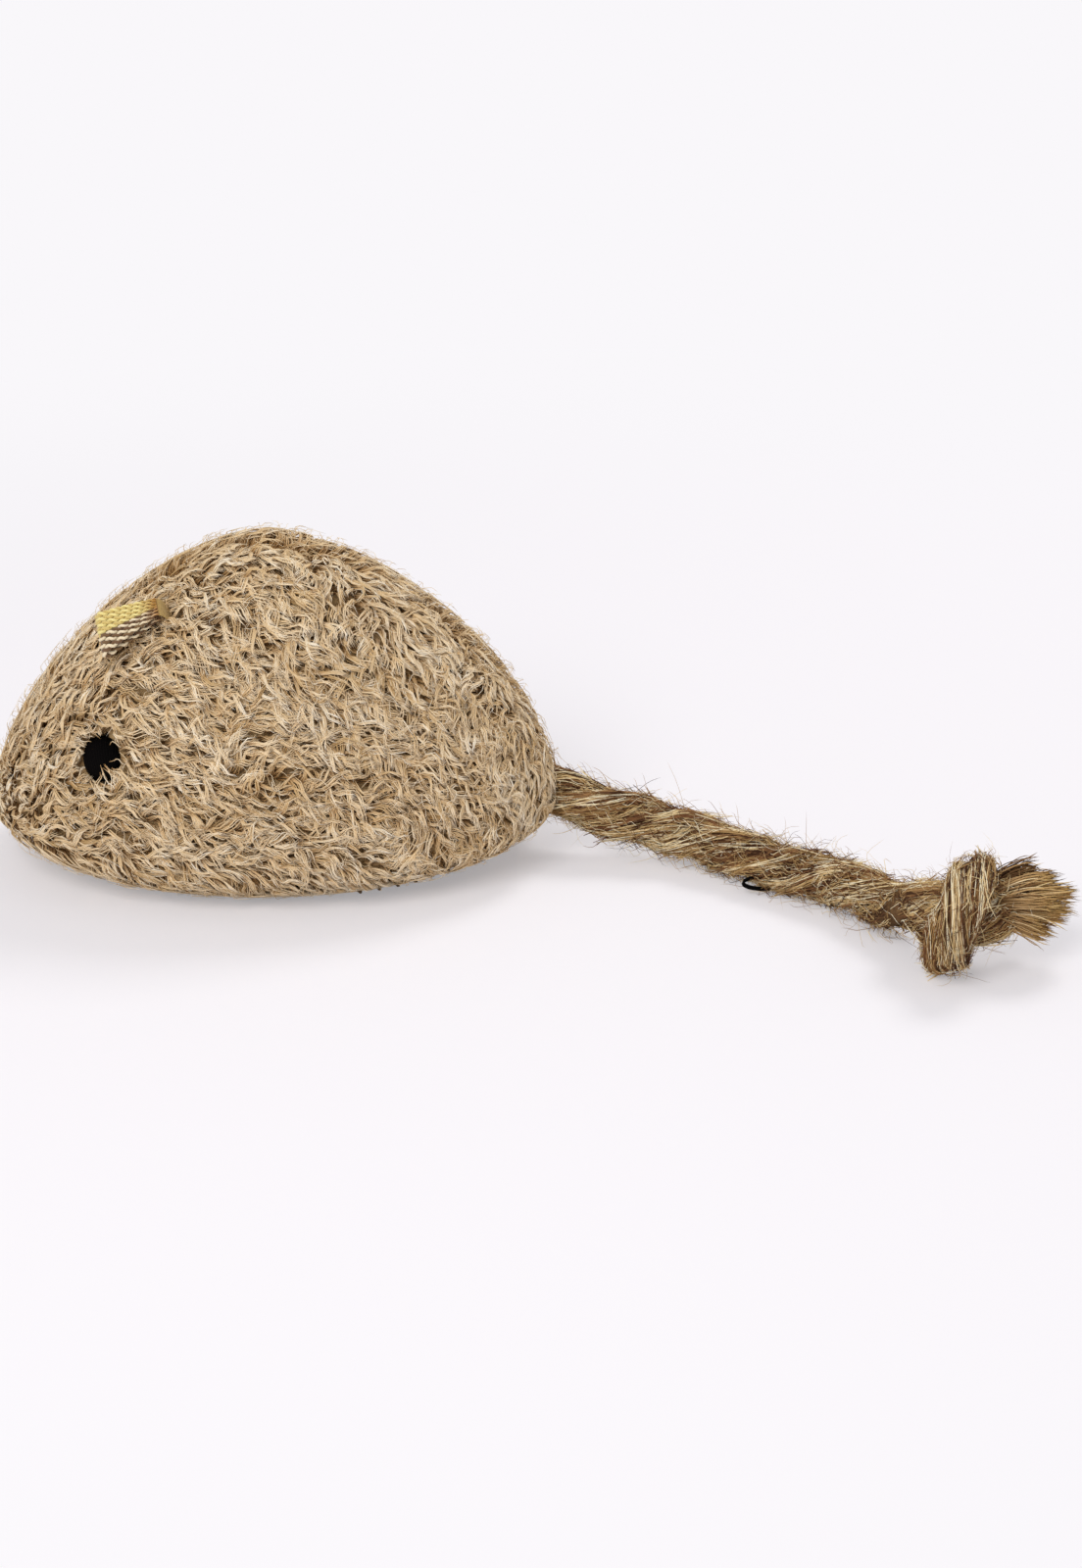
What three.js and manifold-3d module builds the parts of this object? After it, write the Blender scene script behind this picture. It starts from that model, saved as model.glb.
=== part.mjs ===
import * as THREE from 'three';
import { mergeVertices } from 'three/addons/utils/BufferGeometryUtils.js';
import Module from 'manifold-3d';

// Plush catnip mouse with a knotted rope tail, in millimetres.
// +Z is up, the nose points to -X and the tail leaves towards +X.
// The origin lies on the floor under the middle of the body.

// Body, over the tips of the plush
const BODY_LENGTH = 70;
const BODY_WIDTH = 45;
const BODY_HEIGHT = 41.5;
const WIDEST_HEIGHT = 8.5;
const PEAK_FORWARD = 1.1;
const PLUSH_THICKNESS = 4.5;
const FLAT_DEPTH = 0.5;

// How full each end is: 2 is an ellipse, more is blunter, less is more pointed
const NOSE_PLAN_FULLNESS = 2.2;
const RUMP_PLAN_FULLNESS = 2.1;
const NOSE_RIDGE_FULLNESS = 1.56;
const RUMP_RIDGE_FULLNESS = 1.63;
const BELLY_FULLNESS = 2;
const FLANK_FULLNESS = 2;
const UNDERSIDE_FULLNESS = 3;

// Base panel
const BASE_END_INSET = 10;
const BASE_SIDE_INSET = 5.5;
const BASE_THICKNESS = 1.8;
const BASE_RIM_HEIGHT = 6;

// Filling
const CATNIP_LENGTH = 32;
const CATNIP_WIDTH = 18;
const CATNIP_HEIGHT = 18;
const CATNIP_WIDEST_HEIGHT = 6;

// Sewing
const SEAM_WIDTH = 0.9;
const THREAD_DIAMETER = 0.4;
const STITCH_LENGTH = 3.2;
const STITCH_DEPTH = 1.2;
const BASE_STITCH_DEPTH = 0.8;
const CLOSING_LENGTH = 18;
const CLOSING_STITCH_LENGTH = 2.4;
const CLOSING_THREAD_DIAMETER = 0.5;
const TACK_LENGTH = 1.1;
const TACK_PITCH = 1;

// Eyes
const EYE_WIDTH = 5;
const EYE_HEIGHT = 5.6;
const EYE_THICKNESS = 2.6;
const EYE_FORWARD = 20.3;
const EYE_RISE_ANGLE = 27;

// Ribbon ears: the left one stands off the plush, the right one lies on it
const EAR_LENGTH = 7.6;
const EAR_WIDTH = 6.4;
const RIBBON_THICKNESS = 0.6;
const RIBBON_FOLD_GAP = 0.5;
const EAR_CURL_RADIUS = 14;
const EAR_DROOP_RADIUS = 45;
const EAR_ROOT_FORWARD = 11.8;
const LEFT_EAR_ASIDE_ANGLE = 60;
const RIGHT_EAR_ASIDE_ANGLE = 42;
const EAR_DROP_ANGLE = 3;
const LEFT_EAR_TILT = 22;
const RIGHT_EAR_TILT = 1;

// Rope tail
const ROPE_DIAMETER = 6;
const ANCHOR_LENGTH = 11;
const EXIT_DEPTH = 1;
const TAIL_SWING = 50;
const TAIL_HINGE_STEP = 10.5;
const FLOOR_GAP = 0.1;

// Route of the free rope, from the point where it leaves the body to the knot:
// distance behind that point, distance towards the mouse's left, rise off the floor
const TAIL_ROUTE = [
  [2.4, 0.9, 4.6],
  [5.2, 1.8, 3.65],
  [8.2, 2.4, 2.8],
  [11.3, 2.9, 2.1],
  [14.3, 3.7, 1.5],
  [17.4, 5.0, 1.0],
  [21.0, 7.3, 0.55],
  [24.5, 10.1, 0.25],
  [27.9, 12.9, 0.05],
  [31.4, 15.5, 0.05],
  [34.7, 18.1, 0.35],
  [37.3, 21.1, 0.6],
];

// Overhand knot and frayed end
const KNOT_BEHIND = 47.8;
const KNOT_LEFT = 36.8;
const KNOT_ENTRY_HEADING = -56;
const KNOT_ENTRY_DROP = 1.2;
const KNOT_TURN_HEADING = -12;
const KNOT_EXIT_HEADING = 16;
const KNOT_STRAND_DIAMETER = 4.6;
const KNOT_TURN_DIAMETER = 5.3;
const KNOT_TURN_RADIUS = 4.6;
const KNOT_PITCH = 5.8;
const KNOT_ENTRY_LENGTH = 8.5;
const KNOT_EXIT_LENGTH = 7.5;
const KNOT_MOUTH = 4.4;
const KNOT_CURL = 4.6;
const KNOT_CURL_BACK = 2.6;
const KNOT_LAP = 0.03;
const STRAND_OFFSET = 1.2;
const TUFT_LENGTH = 6.5;
const TUFT_END_DIAMETER = 7.6;
const TUFT_STRANDS = 3;
const TUFT_LOBE = 0.16;
const TUFT_FLARE = 1.4;
const TUFT_TWIST = 57;

// Clearances
const FIT = 0.3;

// Facets
const SKIN_COLUMNS = 40;
const SKIN_ROWS = 28;
const LINING_COLUMNS = 28;
const LINING_ROWS = 18;
const CATNIP_ROWS = 14;
const EYE_SIDES = 20;
const EAR_STEPS = 6;
const EAR_FOLD_STEPS = 8;
const ROPE_SIDES = 12;
const PASSAGE_STEPS = 6;
const KNOT_STEPS = 12;
const TUFT_RINGS = 5;
const TUFT_LOBE_SIDES = 8;
const THREAD_SIDES = 4;
const STITCH_STEPS = 4;
const TACK_STEPS = 6;
const LENGTH_STEPS = 60;

// Numerical steps: vertices closer than the first are one, slopes are taken over the second
const MERGE_DISTANCE = 1e-4;
const SLOPE_STEP = 1e-3;

const BASE_LENGTH = BODY_LENGTH - 2 * BASE_END_INSET;
const BASE_WIDTH = BODY_WIDTH - 2 * BASE_SIDE_INSET;
const ROPE_RADIUS = ROPE_DIAMETER / 2;
const LYING_HEIGHT = ROPE_RADIUS + FLOOR_GAP;
const EXIT = new THREE.Vector3(BODY_LENGTH / 2 - EXIT_DEPTH, 0, WIDEST_HEIGHT);

const LEFT = { name: 'left', side: -1, tilt: LEFT_EAR_TILT, aside: LEFT_EAR_ASIDE_ANGLE };
const RIGHT = { name: 'right', side: 1, tilt: RIGHT_EAR_TILT, aside: RIGHT_EAR_ASIDE_ANGLE };

const wasm = await Module();
wasm.setup();

// Solids and booleans

function toSolid(geometry) {
  const bare = geometry.clone();
  for (const name of Object.keys(bare.attributes)) {
    if (name !== 'position') bare.deleteAttribute(name);
  }
  const merged = mergeVertices(bare, MERGE_DISTANCE);
  return new wasm.Manifold(new wasm.Mesh({
    numProp: 3,
    vertProperties: Float32Array.from(merged.attributes.position.array),
    triVerts: Uint32Array.from(merged.index.array),
  }));
}

function toGeometry(solid) {
  const mesh = solid.getMesh();
  const geometry = new THREE.BufferGeometry();
  geometry.setAttribute('position', new THREE.BufferAttribute(Float32Array.from(mesh.vertProperties), 3));
  geometry.setIndex(new THREE.BufferAttribute(Uint32Array.from(mesh.triVerts), 1));
  geometry.computeVertexNormals();
  return geometry;
}

function boxBetween(low, high) {
  const size = high.clone().sub(low);
  const middle = high.clone().add(low).multiplyScalar(0.5);
  return toSolid(new THREE.BoxGeometry(size.x, size.y, size.z).translate(middle.x, middle.y, middle.z));
}

function circle(radius, sides) {
  const shape = new THREE.Shape();
  for (let side = 0; side < sides; side += 1) {
    const angle = (2 * Math.PI * (side + 0.5)) / sides;
    const point = [radius * Math.cos(angle), radius * Math.sin(angle)];
    if (side === 0) shape.moveTo(...point);
    else shape.lineTo(...point);
  }
  shape.closePath();
  return shape;
}

function tube(curve, diameter, sides, steps) {
  return new THREE.ExtrudeGeometry(circle(diameter / 2, sides), {
    steps,
    extrudePath: curve,
    bevelEnabled: false,
  });
}

function ball(centre, radius) {
  return toSolid(new THREE.SphereGeometry(radius, ROPE_SIDES, ROPE_SIDES).translate(...centre));
}

// Plump forms: a skin that swells from a nose to a full middle and tapers to a rump, flat below

function fullness(share, power) {
  return Math.pow(Math.max(0, 1 - Math.pow(Math.abs(share), power)), 1 / power);
}

function roundPower(value, power) {
  return Math.sign(value) * Math.pow(Math.abs(value), 2 / power);
}

// The form of the plush skin, drawn in by an inset, above a level underside
function bodyForm(inset, underside) {
  return {
    length: BODY_LENGTH - 2 * inset,
    width: BODY_WIDTH - 2 * inset,
    height: BODY_HEIGHT - inset,
    widest: WIDEST_HEIGHT,
    underside,
    forward: PEAK_FORWARD,
  };
}

// A point of a form, at a station from -1 at the nose to 1 at the rump and an angle round the section
function formPoint(form, station, angle) {
  const half = form.length / 2;
  const ahead = station < 0;
  const x = -form.forward + station * (ahead ? half - form.forward : half + form.forward);
  const width = (form.width / 2) * fullness(station, ahead ? NOSE_PLAN_FULLNESS : RUMP_PLAN_FULLNESS);
  const upper = Math.sin(angle) >= 0;
  const rise = upper
    ? (form.height - form.widest) * fullness(station, ahead ? NOSE_RIDGE_FULLNESS : RUMP_RIDGE_FULLNESS)
    : (form.widest - form.underside) * fullness(station, BELLY_FULLNESS);
  const power = upper ? FLANK_FULLNESS : UNDERSIDE_FULLNESS;
  return new THREE.Vector3(
    x,
    width * roundPower(Math.cos(angle), power),
    form.widest + rise * roundPower(Math.sin(angle), power),
  );
}

function formStation(form, x) {
  const half = form.length / 2;
  const offset = x + form.forward;
  return offset / (offset < 0 ? half - form.forward : half + form.forward);
}

function formSolid(form, columns, rows) {
  const geometry = new THREE.SphereGeometry(1, columns, rows).rotateZ(Math.PI / 2);
  const positions = geometry.attributes.position;
  for (let i = 0; i < positions.count; i += 1) {
    const angle = Math.atan2(positions.getZ(i), positions.getY(i));
    const point = formPoint(form, THREE.MathUtils.clamp(positions.getX(i), -1, 1), angle);
    positions.setXYZ(i, point.x, point.y, point.z);
  }
  return toSolid(geometry);
}

// Axes on the skin: out of the plush, forward along it, and across
function skinFrame(x, angle) {
  const form = bodyForm(0, -FLAT_DEPTH);
  const station = formStation(form, x);
  const point = formPoint(form, station, angle);
  const along = formPoint(form, station - SLOPE_STEP, angle).sub(point).normalize();
  const around = formPoint(form, station, angle + SLOPE_STEP).sub(point).normalize();
  const out = around.clone().cross(along).normalize();
  if (out.dot(new THREE.Vector3(0, Math.cos(angle), Math.sin(angle))) < 0) out.negate();
  const across = out.clone().cross(along).normalize();
  return new THREE.Matrix4().makeBasis(along, across, out).setPosition(point);
}

// Outline of the base panel seen from above, grown by an outset
function baseForm(outset) {
  return {
    ...bodyForm(0, 0),
    length: BASE_LENGTH + 2 * outset,
    width: BASE_WIDTH + 2 * outset,
  };
}

function basePrism(outset, top) {
  const outline = [];
  for (let i = 0; i < SKIN_COLUMNS; i += 1) {
    const turn = (2 * Math.PI * i) / SKIN_COLUMNS;
    const power = Math.cos(turn) < 0 ? NOSE_PLAN_FULLNESS : RUMP_PLAN_FULLNESS;
    const edge = formPoint(baseForm(outset), roundPower(Math.cos(turn), power), 0);
    outline.push(new THREE.Vector2(edge.x, Math.sign(Math.sin(turn)) * edge.y));
  }
  const depth = top + 2 * FLAT_DEPTH;
  const prism = new THREE.ExtrudeGeometry(new THREE.Shape(outline), { depth, bevelEnabled: false });
  return toSolid(prism.translate(0, 0, top - depth));
}

// Height of a form's underside at a place on the floor
function undersideHeight(form, x, y) {
  const station = formStation(form, x);
  const width = (form.width / 2) * fullness(station, station < 0 ? NOSE_PLAN_FULLNESS : RUMP_PLAN_FULLNESS);
  const depth = (form.widest - form.underside) * fullness(station, BELLY_FULLNESS);
  return form.widest - depth * fullness(y / width, UNDERSIDE_FULLNESS);
}

function routePoint([behind, left, rise]) {
  return new THREE.Vector3(EXIT.x + behind, -left, LYING_HEIGHT + rise);
}

function heading(degrees) {
  const turn = THREE.MathUtils.degToRad(degrees);
  return new THREE.Vector3(Math.cos(turn), Math.sin(turn), 0);
}

// Where the rope passes through the plush: a bore for the sewn-in end and a fan for the swinging tail
function tailPassage() {
  const radius = ROPE_RADIUS + FIT;
  const inner = new THREE.Vector3(EXIT.x - ANCHOR_LENGTH - ROPE_RADIUS - 2 * FIT, 0, EXIT.z);
  const leaving = routePoint(TAIL_ROUTE[0]).sub(EXIT).normalize();
  const level = Math.hypot(leaving.x, leaving.y);
  let passage = toSolid(tube(new THREE.LineCurve3(inner, EXIT), 2 * radius, ROPE_SIDES, 1));
  passage = passage.add(ball(EXIT.toArray(), radius));
  for (let i = 0; i <= PASSAGE_STEPS; i += 1) {
    const swing = TAIL_SWING * ((2 * i) / PASSAGE_STEPS - 1);
    const direction = heading(swing).multiplyScalar(level).setZ(leaving.z);
    const end = direction.multiplyScalar(BODY_WIDTH).add(EXIT);
    passage = passage.add(toSolid(tube(new THREE.LineCurve3(EXIT, end), 2 * radius, ROPE_SIDES, 1)));
  }
  return passage;
}

// Body panels

const outerForm = bodyForm(0, -FLAT_DEPTH);
const liningForm = bodyForm(PLUSH_THICKNESS, BASE_THICKNESS);
const reach = BODY_LENGTH + BODY_WIDTH + BODY_HEIGHT;

const aboveFloor = boxBetween(new THREE.Vector3(-reach, -reach, 0), new THREE.Vector3(reach, reach, reach));
const shell = formSolid(outerForm, SKIN_COLUMNS, SKIN_ROWS)
  .intersect(aboveFloor)
  .subtract(formSolid(liningForm, LINING_COLUMNS, LINING_ROWS))
  .subtract(tailPassage());

function eyeFrame(side) {
  const rise = THREE.MathUtils.degToRad(EYE_RISE_ANGLE);
  return skinFrame(-EYE_FORWARD, side < 0 ? Math.PI - rise : rise);
}

function eyeSolid(side, margin) {
  const eye = new THREE.SphereGeometry(1, EYE_SIDES, EYE_SIDES / 2);
  eye.scale(EYE_WIDTH / 2 + margin, EYE_HEIGHT / 2 + margin, EYE_THICKNESS / 2 + margin);
  return eye.applyMatrix4(eyeFrame(side));
}

function sidePanel(side) {
  const half = side < 0
    ? boxBetween(new THREE.Vector3(-reach, -reach, -reach), new THREE.Vector3(reach, -SEAM_WIDTH / 2, reach))
    : boxBetween(new THREE.Vector3(-reach, SEAM_WIDTH / 2, -reach), new THREE.Vector3(reach, reach, reach));
  return shell
    .intersect(half)
    .subtract(basePrism(SEAM_WIDTH, BASE_RIM_HEIGHT + FIT))
    .subtract(toSolid(eyeSolid(side, FIT)));
}

function basePanel() {
  return shell.intersect(basePrism(0, BASE_RIM_HEIGHT));
}

// Filling: the catnip stands on the base panel in a pocket of the stuffing

function catnipForm(margin) {
  const floor = BASE_THICKNESS + FIT;
  return {
    length: CATNIP_LENGTH + 2 * margin,
    width: CATNIP_WIDTH + 2 * margin,
    height: floor + CATNIP_HEIGHT + margin,
    widest: floor + CATNIP_WIDEST_HEIGHT,
    underside: floor - margin,
    forward: 0,
  };
}

function catnipFill() {
  return formSolid(catnipForm(0), LINING_COLUMNS, CATNIP_ROWS);
}

function stuffing() {
  const form = catnipForm(FIT);
  const pocket = formSolid(form, LINING_COLUMNS, CATNIP_ROWS);
  const mouthOutline = [];
  for (let i = 0; i < LINING_COLUMNS; i += 1) {
    const turn = (2 * Math.PI * i) / LINING_COLUMNS;
    const edge = new THREE.Vector2(form.length * Math.cos(turn), form.width * Math.sin(turn));
    mouthOutline.push(edge.multiplyScalar(0.5));
  }
  const mouth = new THREE.ExtrudeGeometry(new THREE.Shape(mouthOutline), {
    depth: form.widest,
    bevelEnabled: false,
  });
  return formSolid(bodyForm(PLUSH_THICKNESS + FIT, BASE_THICKNESS + FIT), LINING_COLUMNS, LINING_ROWS)
    .subtract(pocket)
    .subtract(toSolid(mouth))
    .subtract(tailPassage());
}

// Sewing threads: one thread that dips in and out along its seam

function seamThread(line, stitches, diameter) {
  const points = [];
  const steps = stitches * STITCH_STEPS;
  for (let i = 0; i <= steps; i += 1) {
    points.push(line(i / steps, Math.sin((2 * Math.PI * i) / STITCH_STEPS)));
  }
  return tube(new THREE.CatmullRomCurve3(points), diameter, THREAD_SIDES, steps);
}

function lineLength(line) {
  let length = 0;
  for (let i = 0; i < LENGTH_STEPS; i += 1) {
    length += line((i + 1) / LENGTH_STEPS, 0).distanceTo(line(i / LENGTH_STEPS, 0));
  }
  return length;
}

// Along the ridge, midway through the plush, from the nose to above the tail
function backSeamLine(share, dip) {
  const form = bodyForm(PLUSH_THICKNESS / 2, 0);
  const front = formStation(form, -form.length / 2 + FIT);
  const rear = formStation(form, EXIT.x - ROPE_RADIUS - FIT);
  const station = THREE.MathUtils.lerp(front, rear, share);
  const point = formPoint(form, station, Math.PI / 2);
  const ahead = formPoint(form, station + SLOPE_STEP, Math.PI / 2).sub(point).normalize();
  const out = new THREE.Vector3(-ahead.z, 0, ahead.x);
  return point.addScaledVector(out, (dip * STITCH_DEPTH) / 2);
}

// Along one side of the base, in the seam between the base panel and a side panel
function baseSeamPoint(side, x, dip) {
  const form = baseForm(SEAM_WIDTH / 2);
  const edge = formPoint(form, formStation(form, x), 0);
  const below = undersideHeight(outerForm, edge.x, edge.y);
  const above = undersideHeight(liningForm, edge.x, edge.y);
  return new THREE.Vector3(edge.x, side * edge.y, (below + above) / 2 + (dip * BASE_STITCH_DEPTH) / 2);
}

const seamFront = -BASE_LENGTH / 2;
const seamRear = BASE_LENGTH / 2;
const closingFront = seamRear - CLOSING_LENGTH;

function baseSeamLine(side, from, to) {
  return (share, dip) => {
    const turn = Math.PI * share;
    const x = from + ((to - from) * (1 - Math.cos(turn))) / 2;
    return baseSeamPoint(side, x, dip);
  };
}

function seam(line, stitchLength, diameter) {
  return seamThread(line, Math.round(lineLength(line) / stitchLength), diameter);
}

// Ribbon ears: a ribbon folded back on itself, sewn down along its cut ends

const earThickness = 2 * RIBBON_THICKNESS + RIBBON_FOLD_GAP;
const earCurl = EAR_WIDTH ** 2 / (8 * EAR_CURL_RADIUS);

// Height of an ear's hinge line over the plush, on top of its cut ends
function earSeat(tilt) {
  return FIT + earCurl + earThickness * Math.cos(THREE.MathUtils.degToRad(tilt));
}

// Axes at the sewn edge of an ear
function earFrame({ side, tilt, aside }) {
  const angle = THREE.MathUtils.degToRad(aside);
  return skinFrame(-EAR_ROOT_FORWARD, side < 0 ? Math.PI - angle : angle)
    .multiply(new THREE.Matrix4().makeRotationZ(-side * THREE.MathUtils.degToRad(EAR_DROP_ANGLE)))
    .multiply(new THREE.Matrix4().makeTranslation(0, 0, earSeat(tilt)));
}

function ribbonEar(half) {
  const bend = earThickness / 2;
  const straight = EAR_LENGTH - bend;
  const fold = new THREE.Shape();
  const layer = (from, to, height) => {
    for (let i = 0; i <= EAR_STEPS; i += 1) {
      fold.lineTo(THREE.MathUtils.lerp(from, to, i / EAR_STEPS), height);
    }
  };
  fold.moveTo(0, -earThickness);
  layer(0, straight, -earThickness);
  fold.absarc(straight, -bend, bend, -Math.PI / 2, Math.PI / 2, false);
  layer(straight, 0, 0);
  layer(0, straight, -RIBBON_THICKNESS);
  fold.absarc(straight, -bend, bend - RIBBON_THICKNESS, Math.PI / 2, -Math.PI / 2, true);
  layer(straight, 0, RIBBON_THICKNESS - earThickness);
  fold.closePath();
  const ear = new THREE.ExtrudeGeometry(fold, {
    depth: EAR_WIDTH,
    steps: EAR_STEPS,
    bevelEnabled: false,
    curveSegments: EAR_FOLD_STEPS,
  });
  ear.translate(0, 0, -EAR_WIDTH / 2).rotateX(Math.PI / 2);
  const positions = ear.attributes.position;
  for (let i = 0; i < positions.count; i += 1) {
    const curl = positions.getY(i) ** 2 / (2 * EAR_CURL_RADIUS);
    const droop = positions.getX(i) ** 2 / (2 * EAR_DROOP_RADIUS);
    positions.setZ(i, positions.getZ(i) - curl - droop);
  }
  ear.rotateY(-THREE.MathUtils.degToRad(half.tilt));
  return ear.applyMatrix4(earFrame(half));
}

// A bar tack behind the ear's cut ends
function earTack(half) {
  const near = -FIT - THREAD_DIAMETER;
  const frame = earFrame(half);
  const height = FIT + THREAD_DIAMETER / 2 - earSeat(half.tilt);
  const count = Math.round(EAR_WIDTH / TACK_PITCH);
  const points = [];
  for (let i = 0; i <= 2 * count; i += 1) {
    const along = near - (i % 2 === 0 ? 0 : TACK_LENGTH);
    const across = EAR_WIDTH * (i / (2 * count) - 0.5);
    points.push(new THREE.Vector3(along, across, height).applyMatrix4(frame));
  }
  return tube(new THREE.CatmullRomCurve3(points), THREAD_DIAMETER, THREAD_SIDES, TACK_STEPS * count);
}

// Rope tail

const up = new THREE.Vector3(0, 0, 1);
const knotCentre = new THREE.Vector3(
  EXIT.x + KNOT_BEHIND,
  -KNOT_LEFT,
  KNOT_TURN_RADIUS + KNOT_TURN_DIAMETER / 2 + FLOOR_GAP,
);

// A point near the knot: along a heading, above it, and in front of it on the mouse's left
function knotPoint(degrees, along, above, front) {
  const axis = heading(degrees);
  return knotCentre.clone()
    .addScaledVector(axis, along)
    .addScaledVector(up, above)
    .addScaledVector(axis.clone().cross(up), front);
}

// A point of the rope on its way into the knot, which it enters rising
function entryPoint(away) {
  const slope = KNOT_ENTRY_DROP / (KNOT_ENTRY_LENGTH - KNOT_MOUTH);
  return knotPoint(KNOT_ENTRY_HEADING, -away, -STRAND_OFFSET - slope * (away - KNOT_MOUTH), 0);
}

const tailCurve = new THREE.CatmullRomCurve3([
  EXIT.clone(),
  ...TAIL_ROUTE.map(routePoint),
  entryPoint(KNOT_ENTRY_LENGTH + FIT + ROPE_RADIUS),
  entryPoint(KNOT_ENTRY_LENGTH + FIT),
]);

function stretch(from, to) {
  const points = [];
  const length = tailCurve.getLength() * (to - from);
  const steps = Math.max(2, Math.round(length / ROPE_RADIUS));
  for (let i = 0; i <= steps; i += 1) {
    points.push(tailCurve.getPointAt(THREE.MathUtils.lerp(from, to, i / steps)));
  }
  return toSolid(tube(new THREE.CatmullRomCurve3(points), ROPE_DIAMETER, ROPE_SIDES, steps));
}

const hingeShare = TAIL_HINGE_STEP / tailCurve.getLength();
const hingePoint = tailCurve.getPointAt(hingeShare);
const rootEndShare = (TAIL_HINGE_STEP - ROPE_RADIUS - FIT) / tailCurve.getLength();

// The end sewn into the body
function tailAnchor() {
  const rear = EXIT.x - ROPE_RADIUS - FIT;
  const from = new THREE.Vector3(rear - ANCHOR_LENGTH, 0, EXIT.z);
  const to = new THREE.Vector3(rear, 0, EXIT.z);
  return tube(new THREE.LineCurve3(from, to), ROPE_DIAMETER, ROPE_SIDES, 2);
}

// The first stretch swings in the seam, the rest lifts off the floor
function tailRoot() {
  return stretch(0, rootEndShare).add(ball(EXIT.toArray(), ROPE_RADIUS));
}

function tailRope() {
  return stretch(hingeShare, 1).add(ball(hingePoint.toArray(), ROPE_RADIUS));
}

// Overhand knot: the rope runs through its own turn, curls back, winds once round and leaves through it
function tailKnot() {
  const radius = KNOT_TURN_RADIUS;
  const turnPoint = (turn) => {
    const angle = 2 * Math.PI * turn - Math.PI / 2;
    const along = KNOT_PITCH * (0.5 - turn);
    return knotPoint(KNOT_TURN_HEADING, along, radius * Math.cos(angle), radius * Math.sin(angle));
  };
  const curlPoint = (sign, turn) => knotPoint(
    KNOT_TURN_HEADING,
    -sign * KNOT_CURL * Math.sin(turn),
    sign * STRAND_OFFSET * Math.cos(turn),
    KNOT_CURL_BACK * (Math.cos(turn) - 1),
  );
  const leavingPoint = (away) => knotPoint(KNOT_EXIT_HEADING, away, STRAND_OFFSET, 0);
  const strand = (sign, pathPoint, length, joint) => [
    pathPoint(length),
    pathPoint(KNOT_MOUTH),
    curlPoint(sign, 0),
    curlPoint(sign, Math.PI / 4),
    curlPoint(sign, Math.PI / 2),
    turnPoint(joint),
  ];
  const winding = (from, to) => {
    const points = [];
    for (let i = 0; i <= KNOT_STEPS; i += 1) {
      points.push(turnPoint(THREE.MathUtils.lerp(from, to, i / KNOT_STEPS)));
    }
    return points;
  };
  const run = (points, diameter) => (
    toSolid(tube(new THREE.CatmullRomCurve3(points), diameter, ROPE_SIDES, KNOT_STEPS))
  );
  return ball(knotCentre.toArray(), radius)
    .add(run(strand(-1, entryPoint, KNOT_ENTRY_LENGTH, KNOT_LAP), KNOT_STRAND_DIAMETER))
    .add(run(winding(0, 0.5 + KNOT_LAP), KNOT_TURN_DIAMETER))
    .add(run(winding(0.5 - KNOT_LAP, 1), KNOT_TURN_DIAMETER))
    .add(run(strand(1, leavingPoint, KNOT_EXIT_LENGTH, 1 - KNOT_LAP), KNOT_STRAND_DIAMETER));
}

// Frayed end: the strands flare out past the knot
function tailTuft() {
  const sides = TUFT_LOBE_SIDES * TUFT_STRANDS;
  const rings = TUFT_RINGS;
  const twist = THREE.MathUtils.degToRad(TUFT_TWIST);
  const positions = [];
  const index = [];
  const start = KNOT_EXIT_LENGTH + FIT;
  for (let ring = 0; ring <= rings; ring += 1) {
    const share = ring / rings;
    const radius = THREE.MathUtils.lerp(KNOT_STRAND_DIAMETER, TUFT_END_DIAMETER, share ** TUFT_FLARE) / 2;
    for (let side = 0; side < sides; side += 1) {
      const angle = (2 * Math.PI * side) / sides;
      const lobe = 1 - TUFT_LOBE * share * (1 - Math.cos(TUFT_STRANDS * angle + twist * share));
      const above = STRAND_OFFSET + radius * lobe * Math.cos(angle);
      const front = radius * lobe * Math.sin(angle);
      positions.push(...knotPoint(KNOT_EXIT_HEADING, start + TUFT_LENGTH * share, above, front).toArray());
    }
  }
  const ends = [0, rings].map((ring) => {
    const along = start + (TUFT_LENGTH * ring) / rings;
    positions.push(...knotPoint(KNOT_EXIT_HEADING, along, STRAND_OFFSET, 0).toArray());
    return positions.length / 3 - 1;
  });
  for (let side = 0; side < sides; side += 1) {
    const next = (side + 1) % sides;
    for (let ring = 0; ring < rings; ring += 1) {
      const [a, b] = [ring * sides + side, ring * sides + next];
      index.push(a, b, a + sides, b, b + sides, a + sides);
    }
    index.push(ends[0], next, side);
    index.push(ends[1], rings * sides + side, rings * sides + next);
  }
  const geometry = new THREE.BufferGeometry();
  geometry.setAttribute('position', new THREE.Float32BufferAttribute(positions, 3));
  geometry.setIndex(index);
  return geometry;
}

// Materials

function finish(color, roughness, metalness = 0) {
  return new THREE.MeshStandardMaterial({ color, roughness, metalness });
}

const plush = () => finish(0xb89e78, 0.95);
const baseCloth = () => finish(0xcdbb9c, 0.9);
const fibre = () => finish(0xf0ede4, 0.95);
const herb = () => finish(0x6f7a3c, 0.95);
const satin = () => finish(0x14100e, 0.5);
const ribbon = () => finish(0xd9c27c, 0.55);
const thread = () => finish(0x9c835d, 0.8);
const darkThread = () => finish(0x4a3a28, 0.8);
const jute = () => finish(0x8c6e4b, 0.9);

function piece(name, shape, material) {
  const geometry = shape.isBufferGeometry ? shape : toGeometry(shape);
  const mesh = new THREE.Mesh(geometry, material);
  mesh.name = name;
  return mesh;
}

// Assembly

const mouse = new THREE.Group();
const body = new THREE.Group();
const head = new THREE.Group();
const sewing = new THREE.Group();
const tail = new THREE.Group();
mouse.add(body, head, sewing, tail);

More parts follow.
